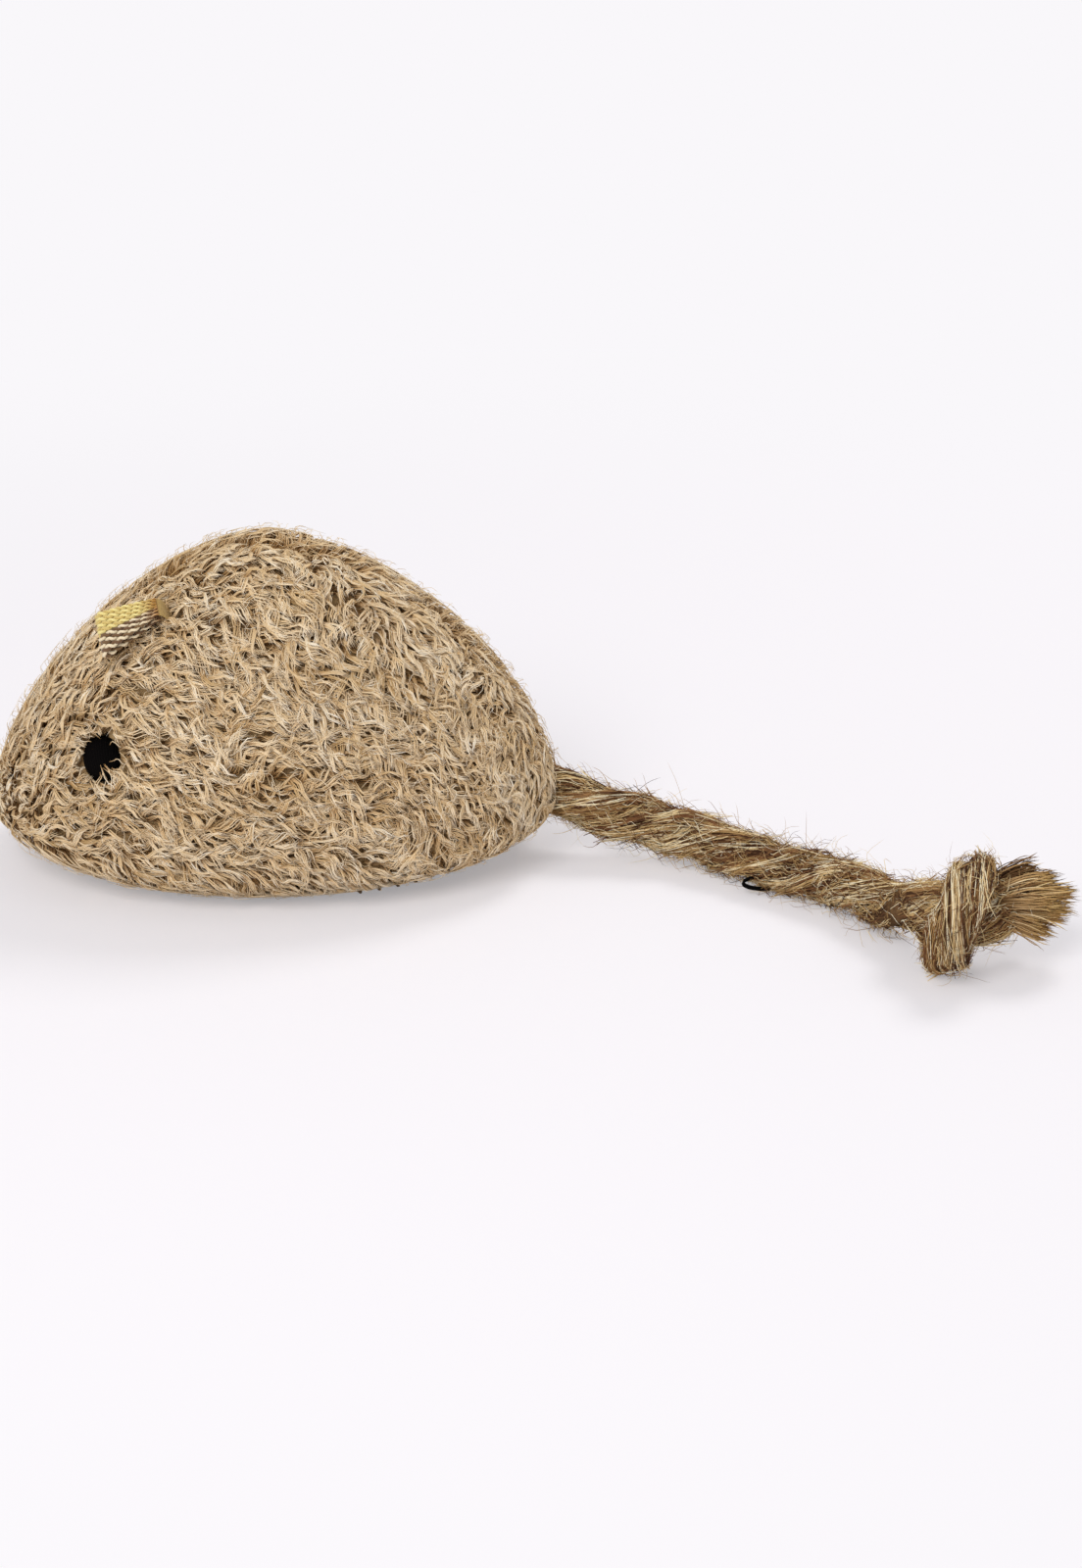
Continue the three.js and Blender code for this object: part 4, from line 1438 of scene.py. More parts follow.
@dataclass
class RibbonEar:
    """An ear: a folded tab of woven ribbon, sewn down along its rear edge."""

    wardrobe: Wardrobe
    form: BodyForm
    side: Side
    tilt: float
    aside: float
    length: float = 7.6 * MM
    width: float = 6.4 * MM
    ribbon: float = 0.6 * MM
    fold_gap: float = 0.5 * MM
    fold_steps: int = 13
    curl: float = 14 * MM
    droop: float = 45 * MM
    place: float = -11.8 * MM
    drop: float = math.radians(3)
    fit: float = 0.3 * MM
    rows: int = 7
    row_points: int = 150
    row_shift: float = 0.9
    # Rows below that take cream plies and dark brown plies; the brown paints the shade of the ribbon's lower
    # rows.
    cream_rows: int = 3
    ply_pitch: float = 1.5 * MM
    ply_radius: float = 0.23 * MM
    ply_swing: float = 0.26
    ply_bulge: float = 0.14 * MM
    root_bend: tuple[Point, ...] = (
        (0.35, 0, -0.4),
        (0.05, 0, -0.5),
        (-0.2, 0, -1.1),
        (-0.3, 0, -2.0),
        (-0.35, 0, -3.0),
        (-0.35, 0, -4.0),
    )
    root_points: int = 14
    root_thick: float = 0.7
    # A darker tint for the stub: painted shade where the ribbon goes into the pile.
    root_tint: float = 0.24
    gathered: float = 0.56
    gather_power: float = 1.25
    clear_root: float = 0.4 * MM
    clear_tip: float = 0.2 * MM
    clear_side: float = 0.1 * MM
    clear_below: float = 0.3 * MM
    clear_above: float = 6 * MM
    tack_length: float = 1.3 * MM
    tack_sink: float = 1.3 * MM
    tack_back: float = 0.75 * MM
    tack_stitches: int = 18
    tack_steps: int = 12
    tack_radius: float = 0.2 * MM
    tack_tint: float = 0.3

    @property
    def thickness(self) -> float:
        """Thickness of the folded tab."""
        return 2 * self.ribbon + self.fold_gap

    @property
    def upper(self) -> float:
        """Place of the tab's upper edge, across the tab."""
        return self.side.value * self.width / 2

    def lift(self) -> float:
        """Height of the hinge line over the pile."""
        return self.fit + self.width**2 / (8 * self.curl) + self.thickness * math.cos(self.tilt)

    def seat(self) -> Matrix:
        """Give the axes at the sewn edge.

        Returns:
            The axes and the edge's middle, as a matrix.
        """
        angle = math.pi - self.aside if self.side is Side.LEFT else self.aside
        turn = Matrix.Rotation(-self.side.value * self.drop, 4, "Z")
        return self.form.seat(self.place, angle) @ turn @ Matrix.Translation((0, 0, self.lift()))

    def tab(self) -> Matrix:
        """Give the axes of the tab, which stands off the pile by its tilt."""
        return self.seat() @ Matrix.Rotation(-self.tilt, 4, "Y")

    def sag(self, along: Array, across: Array) -> Array:
        """Give how far the tab falls away from flat."""
        return across**2 / (2 * self.curl) + along**2 / (2 * self.droop)

    def narrowing(self, along: Array) -> Array:
        """Give the share of the ribbon's width that is left where it is gathered at the sewn edge."""
        share = np.clip(along / self.length, 0, 1)
        return 1 - self.gathered * (1 - share) ** self.gather_power

    def gather(self, along: Array, across: Array) -> Array:
        """Give where a row lies across the tab, gathered towards its upper edge."""
        return self.upper + (across - self.upper) * self.narrowing(along)

    def obstacle(self) -> Obstacle:
        """Give the space of the tab.

        Returns:
            The space.
        """
        def holds(local: Array) -> Array:
            """Test the tab's curled box with a small margin.

            Args:
                local: Points in the tab's axes.

            Returns:
                True for each point in the box.
            """
            along = local[..., 0]
            height = local[..., 2] + self.sag(along, local[..., 1])
            across = self.upper + (local[..., 1] - self.upper) / self.narrowing(along)
            flat = (along > self.clear_root) & (along < self.length + self.clear_tip)
            flat &= np.abs(across) < self.width / 2 + self.clear_side
            return flat & (height > -self.thickness - self.clear_below) & (height < self.clear_above)

        return Obstacle(self.tab(), holds)

    def fold_line(self) -> Array:
        """Give the ribbon's middle line along the fold.

        Returns:
            Distance out, height and length along the fold, one row for each point.
        """
        bend = self.thickness / 2
        turn = np.linspace(-np.pi / 2, np.pi / 2, self.fold_steps)
        radius = bend - self.ribbon / 2
        arc = np.stack([self.length - bend + radius * np.cos(turn), -bend + radius * np.sin(turn)], -1)
        corners = np.vstack([[0, self.ribbon / 2 - self.thickness], arc, [0, -self.ribbon / 2]])
        length = steps_along(corners)
        steps = np.linspace(0, length[-1], self.row_points)
        return np.stack([np.interp(steps, length, corners[:, axis]) for axis in range(2)] + [steps], -1)

    def row_tint(self, row: int, ply: int) -> float:
        """Give the tint of one ply of a row: gold rows above; in the rows below, cream plies and dark brown
        plies, the brown painting the shade on the ribbon's lower rows.

        Args:
            row: The row's number across the ribbon.
            ply: The ply, 0 or 1.

        Returns:
            The tint.
        """
        outer = row if self.side is Side.LEFT else self.rows - 1 - row
        if outer < self.rows - self.cream_rows:
            return 0.6 - 0.2 * ply
        # The dark brown ply is painted shade between the ribbon's pale cream dashes.
        return 0.06 if ply == 1 else 0.9

    def build_root(self) -> None:
        """Make the sewn end of the ribbon, which bends down into the pile at the hinge line, tinted darker
        as painted shade.
        """
        bend = through(np.array(self.root_bend) * MM, self.root_points)
        narrow = float(self.narrowing(np.zeros(1))[0])
        count = 2 * self.rows
        middles = (np.arange(count) / 2 - 0.25 - (self.rows - 1) / 2) * self.width / self.rows
        across = np.broadcast_to((self.upper + (middles - self.upper) * narrow)[:, None], (count, len(bend)))
        along = np.broadcast_to(bend[:, 0], across.shape)
        lines = placed(np.stack([along, across, bend[:, 2] - across**2 / (2 * self.curl)], -1), self.seat())
        radii = even(count, len(bend), self.root_thick * self.ply_radius * narrow**0.5)
        tints = np.full(count, self.root_tint)
        piece = strands(f"{self.side.word}_ear_root", lines, radii, tints, 6, self.wardrobe("ribbon"))
        sew_on(piece, "ribbon")

    def build(self) -> None:
        """Make the ribbon's twisted rows, its sewn end and the tack that holds it."""
        fold = self.fold_line()
        normal = np.gradient(fold[:, :2], axis=0)
        normal = unit(np.stack([-normal[:, 1], normal[:, 0]], -1))
        lines = []
        tints = []
        pitch = self.width / self.rows
        for row in range(self.rows):
            middle = (row - (self.rows - 1) / 2) * pitch
            for ply in range(2):
                turn = 2 * np.pi * fold[:, 2] / self.ply_pitch + np.pi * ply + self.row_shift * row
                bulge = self.ply_bulge * np.sin(turn)
                along = fold[:, 0] + bulge * normal[:, 0]
                across = self.gather(along, middle + self.ply_swing * pitch * np.cos(turn))
                height = fold[:, 1] + bulge * normal[:, 1] - self.sag(along, across)
                lines.append(np.stack([along, across, height], -1))
                tints.append(self.row_tint(row, ply))
        lines = placed(np.array(lines), self.tab())
        radii = np.broadcast_to(self.ply_radius * self.narrowing(fold[:, 0]), lines.shape[:2])
        ear = strands(f"{self.side.word}_ribbon", lines, radii, np.array(tints), 6, self.wardrobe("ribbon"))
        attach(ear, f"{self.side.word}_ear")
        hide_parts(f"{self.side.word}_ear")
        self.build_root()
        self.build_tack()

    def build_tack(self) -> None:
        """Make the close stitches at the sewn edge."""
        steps = np.linspace(0, 1, self.tack_steps * self.tack_stitches)
        zigzag = np.arcsin(np.cos(2 * np.pi * self.tack_stitches * steps)) / np.pi
        along = -self.tack_back - self.tack_length * (0.5 + zigzag)
        across = (steps - 0.5) * self.width
        height = -self.tack_sink - self.lift() - across**2 / (2 * self.curl)
        line = placed(np.stack([along, across, height], -1), self.seat())
        radii = even(1, len(steps), self.tack_radius)
        tints = np.array([self.tack_tint])
        piece = strands(f"{self.side.word}_ear_tack", line[None], radii, tints, 6, self.wardrobe("thread"))
        sew_on(piece, "sewing_thread", f"{self.side.word}_ear_stitches")


@dataclass(frozen=True)
class LooseFibres:
    """The loose fibres on a stretch of rope: how many, how long and how they lie."""

    count: int
    matted: int
    length: Span
    points: int = 7
    lean: Span = (0.35, 1.0)
    matted_lean: float = 0.1
    sway: float = 0.45
    matted_sway: float = 0.8
    bow: float = 0.45
    forward: Span = (1.1, 0.6)
    ripple: float = 0.09
    ripple_turn: float = 7
    widest_wrap: float = 1.2
    seat: float = 0.92
    radius: Span = (0.022 * MM, 0.046 * MM)
    tip: float = 0.45
    matted_thick: float = 1.5
    tint: Span = (0.5, 0.32)


@dataclass
class RopeTail:
    """The jute tail: twisted rope, overhand knot, frayed end and loose fibres."""

    wardrobe: Wardrobe
    rng: np.random.Generator
    exit: Vector = field(default_factory=lambda: Vector((34, 0, 8.5)) * MM)
    radius: float = 3.0 * MM
    lying: float = 3.1 * MM
    lay_length: float = 25 * MM
    rope_points: int = 130
    rope_profile: Profile = ((0, 0.25, 0.55, 1), (1.02, 1.0, 0.93, 0.98))
    knot_points: int = 190
    knot_profile: Profile = ((0, 0.12, 0.3, 0.5, 0.7, 1), (3.0, 2.5, 2.55, 2.75, 2.55, 2.45))
    plies: int = 3
    ply_out: float = 0.46
    ply_thick: float = 0.53
    ply_sides: int = 14
    rope_fibres: int = 2300
    knot_fibres: int = 2200
    fibre_points: int = 10
    fibre_length: Span = (6 * MM, 15 * MM)
    fibre_share: Span = (0.75, 1)
    fibre_radius: Span = (0.05 * MM, 0.11 * MM)
    fibre_taper: float = 0.55
    fibre_floor: float = 0.12 * MM
    fibre_lift: float = 0.5 * MM
    fibre_cover: float = 2.0
    fibre_follow: float = 0.5
    bundle: int = 4
    even_step: float = 0.7549
    even_turn: float = 0.5698
    step_spread: float = 0.006
    turn_spread: float = 0.17
    slant: Span = (0.26, 0.09)
    sway: Span = (0.2, 0.06)
    sway_shift: Span = (6, 0.3)
    bundle_height: Span = (0.94, 1.14)
    height_spread: float = 0.03
    tint_shape: Span = (0.55, 0.7)
    tint_spread: float = 0.08
    tint_patches: tuple[Point, ...] = ((0.13, 0.31, 2.1), (0.07, 0.9, 1.0))
    sewn_in: float = 4.5 * MM
    hinge_points: int = 200
    hinge_step: float = 10.5 * MM
    hinge_soft: float = 3.5 * MM
    clear_share: float = 0.95
    clear_back: float = 6 * MM
    clear_ahead: float = 14 * MM
    route: tuple[Point, ...] = (
        (2.4, 0.9, 4.6), (5.2, 1.8, 3.65), (8.2, 2.4, 2.8), (11.3, 2.9, 2.1),
        (14.3, 3.7, 1.5), (17.4, 5.0, 1.0), (21.0, 7.3, 0.55), (24.5, 10.1, 0.25),
        (27.9, 12.9, 0.05), (31.4, 15.5, 0.05), (34.7, 18.1, 0.35), (37.3, 21.1, 0.6),
    )
    knot_behind: float = 47.8 * MM
    knot_left: float = 36.8 * MM
    knot_height: float = 7.35 * MM
    entry_heading: float = -56
    entry_drop: float = 1.2 * MM
    turn_heading: float = -12
    exit_heading: float = 16
    turn_radius: float = 4.6 * MM
    turn_span: Span = (0.06, 0.94)
    turn_points: int = 15
    pitch: float = 5.8 * MM
    entry_length: float = 8.5 * MM
    exit_length: float = 7.5 * MM
    end_overlap: float = 0.8 * MM
    overlap: float = 0.3 * MM
    mouth: float = 4.4 * MM
    curl: float = 4.6 * MM
    curl_back: float = 2.6 * MM
    strand_offset: float = 1.2 * MM
    rope_loose: LooseFibres = LooseFibres(2200, 500, (1.3 * MM, 6.5 * MM))
    rope_loose_from: int = 10
    knot_loose: LooseFibres = LooseFibres(1500, 700, (1.4 * MM, 4.8 * MM))
    knot_loose_from: int = 20
    knot_loose_to: int = -4
    knot_loose_radius: float = 2.75 * MM
    tuft_length: float = 6.9 * MM
    tuft_radius: float = 3.9 * MM
    tuft_back: float = 3.4 * MM
    tuft_short: float = 1.2 * MM
    tuft_waist: float = 2.0 * MM
    tuft_points: int = 9
    tuft_clumps: int = 15
    clump_turn: float = 2.4
    clump_length: Span = (1.14, 0.66)
    clump_power: float = 2.4
    clump_uneven: Span = (0.94, 1.06)
    clump_fibres: int = 60
    clump_spread: float = 0.42 * MM
    clump_gather: Span = (0.7, 0.6)
    clump_gather_turn: float = 0.75
    tuft_flare: Span = (1.3, 0.14)
    tuft_curl: float = 0.5 * MM
    tuft_ripple: float = 0.14 * MM
    tuft_ripple_turn: float = 7
    tuft_blunt: float = 0.05
    tuft_ragged: float = 0.06
    tuft_least: float = 0.6
    tuft_droop: float = 0.8 * MM
    tuft_floor: float = 0.15 * MM
    tuft_fibre: Span = (0.06 * MM, 0.12 * MM)
    tuft_tip: float = 0.6
    clump_tints: Span = (0.08, 0.68)
    clump_tint_step: float = 0.618
    tuft_tint_spread: float = 0.15
    loop_centre: Point = (60.3 * MM, -14.6 * MM, 1.5 * MM)
    loop_reach: Point = (2.3 * MM, 0.6 * MM, 0.5 * MM)
    loop_twin: Point = (0.1 * MM, 0.15 * MM, 0.2 * MM)
    loop_gap: float = 0.15
    loop_points: int = 40
    loop_radius: float = 0.15 * MM
    pulled_ends: tuple[tuple[Point, Point], ...] = (
        ((73.1, -24.6, 5.7), (78.8, -38.2, 3.2)),
        ((74.0, -25.6, 5.4), (79.0, -37.2, 3.6)),
    )
    pulled_points: int = 14
    pulled_bow: float = 0.7 * MM
    pulled_wave: float = 0.4 * MM
    pulled_radius: float = 0.07 * MM

    def knot_point(self, heading: float, along: float, above: float, front: float) -> Array:
        """Give a point near the knot.

        Args:
            heading: Direction seen from above, in degrees.
            along: Distance along it from the knot's middle.
            above: Height over the middle.
            front: Distance to the front of it.

        Returns:
            The point.
        """
        turn = math.radians(heading)
        axis = np.array([math.cos(turn), math.sin(turn), 0])
        ahead = np.array([axis[1], -axis[0], 0])
        centre = np.array([self.exit.x + self.knot_behind, -self.knot_left, self.knot_height])
        return centre + along * axis + np.array([0, 0, above]) + front * ahead

    def entry_point(self, away: float) -> Array:
        """Give a point of the rope on its way into the knot, which it enters rising.

        Args:
            away: Distance from the knot's middle.

        Returns:
            The point.
        """
        slope = self.entry_drop / (self.entry_length - self.mouth)
        below = self.strand_offset + slope * (away - self.mouth)
        return self.knot_point(self.entry_heading, -away, -below, 0)

    def route_points(self) -> list[Array]:
        """Give the free rope's points.

        Returns:
            The points from where it leaves the body to the knot.
        """
        points = [np.array(self.exit)]
        for behind, left, above in self.route:
            points.append(np.array([self.exit.x + behind * MM, -left * MM, self.lying + above * MM]))
        for extra in (self.overlap + self.radius, self.overlap):
            points.append(self.entry_point(self.entry_length + extra))
        return points

    def knot_route(self) -> list[Array]:
        """Give the rope's points through the overhand knot.

        Returns:
            The points from the rope to the tuft.
        """
        def curl_point(sign: int, turn: float) -> Array:
            """Give a point of the curl between a strand and the winding."""
            return self.knot_point(
                self.turn_heading,
                -sign * self.curl * math.sin(turn),
                sign * self.strand_offset * math.cos(turn),
                self.curl_back * (math.cos(turn) - 1),
            )

        def turn_point(share: float) -> Array:
            """Give a point of the winding.

            Args:
                share: How far round it is, from 0 to 1.

            Returns:
                The point.
            """
            angle = 2 * math.pi * share - math.pi / 2
            along = self.pitch * (0.5 - share)
            over = self.turn_radius
            return self.knot_point(self.turn_heading, along, over * math.cos(angle), over * math.sin(angle))

        quarter = (0.0, math.pi / 4, math.pi / 2)
        points = [self.entry_point(away) for away in (self.entry_length + self.overlap, self.mouth)]
        points += [curl_point(-1, turn) for turn in quarter]
        points += [turn_point(share) for share in np.linspace(*self.turn_span, self.turn_points)]
        points += [curl_point(1, turn) for turn in reversed(quarter)]
        for along in (self.mouth, self.exit_length + self.end_overlap):
            points.append(self.knot_point(self.exit_heading, along, self.strand_offset, 0))
        return points

    def lay_plies(self, path: Array, radii: Array) -> Array:
        """Wind the middle lines of the plies round a path.

        Args:
            path: The rope's middle line.
            radii: The rope's radius along it.

        Returns:
            One line for each ply.
        """
        _, normals, across = (axes[0] for axes in carried_frames(path[None]))
        ply = np.arange(self.plies)[:, None]
        turn = 2 * np.pi * (ply / self.plies - steps_along(path) / self.lay_length)
        first = (self.ply_out * radii * np.cos(turn))[..., None] * normals
        second = (self.ply_out * radii * np.sin(turn))[..., None] * across
        return path + first + second

    def lay_fibres(self, path: Array, plies: Array, radii: Array, count: int) -> tuple[Array, Array, Array]:
        """Lay short fibres in bundles on the outer side of the plies.

        Args:
            path: The rope's middle line.
            plies: The plies' middle lines.
            radii: The rope's radius along it.
            count: Number of fibres.

        Returns:
            Centre lines of the fibres, their radii and their tints.
        """
        rng = self.rng
        points = plies.shape[1]
        _, normals, across = carried_frames(plies)
        outward = unit(plies - path)
        facing = np.arctan2(np.sum(outward * across, -1), np.sum(outward * normals, -1))
        facing = np.unwrap(facing, axis=1)
        spacing = np.linalg.norm(np.diff(plies[0], axis=0), axis=1).mean()
        groups = count // self.bundle
        group = rng.integers(0, groups, count)

        def shared(values: Array, spread: float) -> Array:
            """Hand a bundle's value to its fibres, each a little different."""
            return values[group] + rng.normal(0, spread, count)

        order = np.arange(groups)
        share = np.linspace(0, 1, self.fibre_points)
        ends = 2 * share - 1
        length = rng.uniform(*self.fibre_length, groups)[group] * rng.uniform(*self.fibre_share, count)
        reach = length / spacing
        start = np.clip(shared(order * self.even_step % 1, self.step_spread), 0, 1) * (points - 1 - reach)
        place = start[:, None] + reach[:, None] * share
        low = np.clip(np.floor(place).astype(int), 0, points - 2)
        part = place - low
        ply = (order % self.plies)[group][:, None]

        def sample(values: Array) -> Array:
            """Read values of the plies at the fibres' points."""
            weight = part if values.ndim == 2 else part[..., None]
            return values[ply, low] * (1 - weight) + values[ply, low + 1] * weight

        face = sample(facing)
        middle = face[:, self.fibre_points // 2][:, None]
        around = self.fibre_cover * (2 * (order * self.even_turn % 1) - 1)
        turn = middle + shared(around, self.turn_spread)[:, None] + self.fibre_follow * (face - middle)
        turn += shared(rng.normal(0, self.slant[0], groups), self.slant[1])[:, None] * ends
        phase = shared(rng.uniform(0, self.sway_shift[0], groups), self.sway_shift[1])[:, None]
        sway = shared(rng.normal(0, self.sway[0], groups), self.sway[1])[:, None]
        turn += sway * np.sin(2 * np.pi * share + phase)
        lift = np.abs(rng.normal(0, self.fibre_lift, count))[:, None] * np.abs(ends) ** 4
        thick = sample(np.broadcast_to(self.ply_thick * radii, facing.shape))
        height = thick * shared(rng.uniform(*self.bundle_height, groups), self.height_spread)[:, None] + lift
        lines = sample(plies) + (height * np.cos(turn))[..., None] * unit(sample(normals))
        lines += (height * np.sin(turn))[..., None] * unit(sample(across))
        lines[..., 2] = np.maximum(lines[..., 2], self.fibre_floor)
        taper = 1 - self.fibre_taper * np.abs(ends) ** 3
        thin = rng.uniform(*self.fibre_radius, count)[:, None] * taper
        tints = shared(rng.beta(*self.tint_shape, groups), self.tint_spread)
        for size, along, by_ply in self.tint_patches:
            tints = tints + size * np.sin(along * start + by_ply * ply[:, 0])
        return lines, thin, np.clip(tints, 0.02, 0.98)

    def loosen(self, path: Array, radius: float, loose: LooseFibres) -> tuple[Array, Array, Array]:
        """Let loose fibres stand off a stretch of rope.

        Args:
            path: The rope's middle line.
            radius: The rope's radius.
            loose: The fibres, of which the matted ones lie across the rope instead.

        Returns:
            Centre lines, radii and tints of the fibres.
        """
        rng = self.rng
        count = loose.count
        tangents, normals, across = (axes[0] for axes in carried_frames(path[None]))
        place = rng.integers(1, len(path) - 1, count)
        turn = rng.uniform(0, 2 * np.pi, count)
        out = np.cos(turn)[:, None] * normals[place] + np.sin(turn)[:, None] * across[place]
        side = np.cross(tangents[place], out)
        ahead = tangents[place] * rng.choice((-1, 1), count)[:, None]
        share = np.linspace(0, 1, loose.points)
        shortest, longest = loose.length
        length = shortest + (longest - shortest) * rng.uniform(0, 1, count)[:, None] ** 3
        flat = (np.arange(count) < loose.matted)[:, None]
        lean = np.where(flat, loose.matted_lean, rng.uniform(*loose.lean, count)[:, None])
        sway = rng.normal(0, 1, count)[:, None] * np.where(flat, loose.matted_sway, loose.sway)
        high = length * lean * (share - loose.bow * share**2)
        far = length * (loose.forward[0] - loose.forward[1] * lean) * share
        ripple = loose.ripple * length * np.sin(loose.ripple_turn * share + turn[:, None])
        wide = length * sway * share**2 + ripple
        wrap = np.clip(wide / radius, -loose.widest_wrap, loose.widest_wrap)
        high = np.where(flat, high + radius * (np.cos(wrap) - 1), high)
        wide = np.where(flat, radius * np.sin(wrap), wide)
        lines = path[place][:, None] + loose.seat * radius * out[:, None]
        lines = lines + high[..., None] * out[:, None] + far[..., None] * ahead[:, None]
        lines = lines + wide[..., None] * side[:, None]
        lines[..., 2] = np.maximum(lines[..., 2], self.fibre_floor)
        taper = np.linspace(1, loose.tip, loose.points)[None] * rng.uniform(*loose.radius, count)[:, None]
        taper = taper * np.where(flat, loose.matted_thick, 1)
        return lines, taper, np.clip(rng.normal(*loose.tint, count), 0.02, 0.98)

    def build(self) -> None:
        points = self.route_points()
        sewn = points[0] - self.sewn_in * unit(points[1] - points[0])
        path = through([sewn, *points], self.rope_points)
        waist = self.radius * np.interp(np.linspace(0, 1, self.rope_points), *self.rope_profile)
        rope, rope_fibres = self.build_stretch("tail_rope", path, waist, self.rope_fibres)
        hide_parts("tail_root", "tail_rope")

        knot_path = through(self.knot_route(), self.knot_points)
        tight = np.interp(np.linspace(0, 1, self.knot_points), *self.knot_profile) * MM
        knot, knot_fibres = self.build_stretch("tail_knot", knot_path, tight, self.knot_fibres)
        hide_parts("tail_knot")

        tuft = self.build_tuft()
        strays = self.loosen(path[self.rope_loose_from:], self.radius, self.rope_loose)
        rope_fuzz = strands("rope_loose_fibres", *strays, 3, self.wardrobe("jute"), pointed=True)
        knotted = knot_path[self.knot_loose_from:self.knot_loose_to]
        strays = self.loosen(knotted, self.knot_loose_radius, self.knot_loose)
        knot_fuzz = strands("knot_loose_fibres", *strays, 3, self.wardrobe("jute"), pointed=True)
        loop = self.build_loop()
        pulled = self.build_pulled()
        for piece in (knot, knot_fibres, knot_fuzz, tuft, loop, pulled):
            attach(piece, "tail")

        hinge = through(points, self.hinge_points)
        for piece in (rope, rope_fibres, rope_fuzz):
            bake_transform(piece)
        tuple(self.exit)
        [tuple(point) for point in [sewn, *points]]

    def build_stretch(self, name: str, path: Array, radii: Array, count: int) -> tuple[Piece, Piece]:
        """Make a stretch of rope.

        Args:
            name: Start of the pieces' names.
            path: The rope's middle line.
            radii: The rope's radius along it.
            count: Number of fibres laid on it.

        Returns:
            The twisted plies, and the fibres on them.
        """
        plies = self.lay_plies(path, radii)
        plies[..., 2] = np.maximum(plies[..., 2], self.ply_thick * radii)
        thick = np.broadcast_to(self.ply_thick * radii, plies.shape[:2])
        tints = (np.arange(self.plies) + 0.5) / self.plies
        core = strands(f"{name}_plies", plies, thick, tints, self.ply_sides, self.wardrobe("rope_core"))
        laid = self.lay_fibres(path, plies, radii, count)
        fibres = strands(f"{name}_fibres", *laid, 3, self.wardrobe("jute"))
        return core, fibres

    def build_tuft(self) -> Piece:
        """Make the frayed end, whose fibres hang together in clumps.

        Returns:
            The fibres.
        """
        rng = self.rng
        share = np.linspace(0, 1, self.tuft_points)
        inside = self.exit_length - self.tuft_back
        start = self.knot_point(self.exit_heading, inside, self.strand_offset, 0)
        axis = unit(self.knot_point(self.exit_heading, inside + 1, self.strand_offset, 0) - start)
        up = np.array([0, 0, 1.0])
        front = np.cross(axis, up)
        clumps = np.arange(self.tuft_clumps)
        turn = self.clump_turn * clumps
        spot = np.sqrt((clumps + 0.5) / self.tuft_clumps)
        longest, shorter = self.clump_length
        length = self.tuft_length * (longest - shorter * spot**self.clump_power)
        length = length * rng.uniform(*self.clump_uneven, self.tuft_clumps)
        length = length + self.tuft_back - self.tuft_short
        shape = (self.tuft_clumps, self.clump_fibres)
        own = rng.normal(0, self.clump_spread, (*shape, 2))
        least, more = self.clump_gather
        gather = least + more * np.sin(np.pi * share * self.clump_gather_turn)
        open_wide, close = self.tuft_flare
        flare = share**0.8 * (open_wide - close * share**6)
        gap = (self.tuft_waist + (self.tuft_radius - self.tuft_waist) * flare) * spot[:, None]
        rise = (gap * np.cos(turn)[:, None])[:, None] + own[..., 0, None] * gather
        aside = (gap * np.sin(turn)[:, None])[:, None] + own[..., 1, None] * gather
        curl = rng.normal(0, self.tuft_curl, (*shape, 2))[..., None] * share**3
        phase = self.tuft_ripple_turn * share + rng.uniform(0, 6, (*shape, 1))
        rise = rise + self.tuft_ripple * np.sin(phase) + curl[..., 0, :] - self.tuft_droop * share**2
        aside = aside + curl[..., 1, :]
        blunt = 1 - self.tuft_blunt * np.sum((own / MM) ** 2, -1) + rng.normal(0, self.tuft_ragged, shape)
        ahead = (length[:, None] * np.maximum(self.tuft_least, blunt))[..., None] * share
        lines = start + ahead[..., None] * axis + rise[..., None] * up + aside[..., None] * front
        lines = lines.reshape(-1, len(share), 3)
        lines[..., 2] = np.maximum(lines[..., 2], self.tuft_floor)
        taper = np.linspace(1, self.tuft_tip, self.tuft_points)[None]
        radii = taper * rng.uniform(*self.tuft_fibre, len(lines))[:, None]
        darkest, change = self.clump_tints
        tints = (darkest + change * (clumps * self.clump_tint_step % 1))[:, None]
        tints = np.clip(tints + rng.normal(0, self.tuft_tint_spread, shape), 0, 0.98).ravel()
        piece = strands("tail_tuft_fibres", lines, radii, tints, 3, self.wardrobe("frayed"), pointed=True)
        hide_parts("tail_tuft")
        return piece

    def build_loop(self) -> Piece:
        """Make the small dark loop of fibre that hangs under the rope.

        Returns:
            The loop.
        """
        turn = np.linspace(self.loop_gap, 2 * np.pi - self.loop_gap, self.loop_points)
        ring = np.stack([np.cos(turn), np.sin(turn), np.sin(turn)], -1)
        line = np.array(self.loop_centre) + ring * np.array(self.loop_reach)
        lines = np.stack([line, line + np.array(self.loop_twin)])
        radii = even(2, self.loop_points, self.loop_radius)
        return strands("rope_fibre_loop", lines, radii, np.array([0.5, 0.9]), 5, self.wardrobe("satin"))

    def build_pulled(self) -> Piece:
        """Make the long pale fibres that are pulled down from the rope to the knot.

        Returns:
            The fibres.
        """
        share = np.linspace(0, 1, self.pulled_points)
        ends = np.array(self.pulled_ends) * MM
        lines = ends[:, :1] * (1 - share)[None, :, None] + ends[:, 1:] * share[None, :, None]
        lines[..., 1] -= self.pulled_bow * np.sin(np.pi * share)
        lines[..., 2] += self.pulled_wave * np.sin(2 * np.pi * share)
        radii = even(2, self.pulled_points, self.pulled_radius)
        return strands("rope_pulled_fibres", lines, radii, np.array([0.97, 0.8]), 4, self.wardrobe("jute"))

    def obstacle(self) -> Obstacle:
        """Give the space of the rope where it leaves the pile.

        Returns:
            The space.
        """
        points = self.route_points()
        turn = Vector(unit(points[2] - points[0])).to_track_quat("X", "Z").to_matrix().to_4x4()

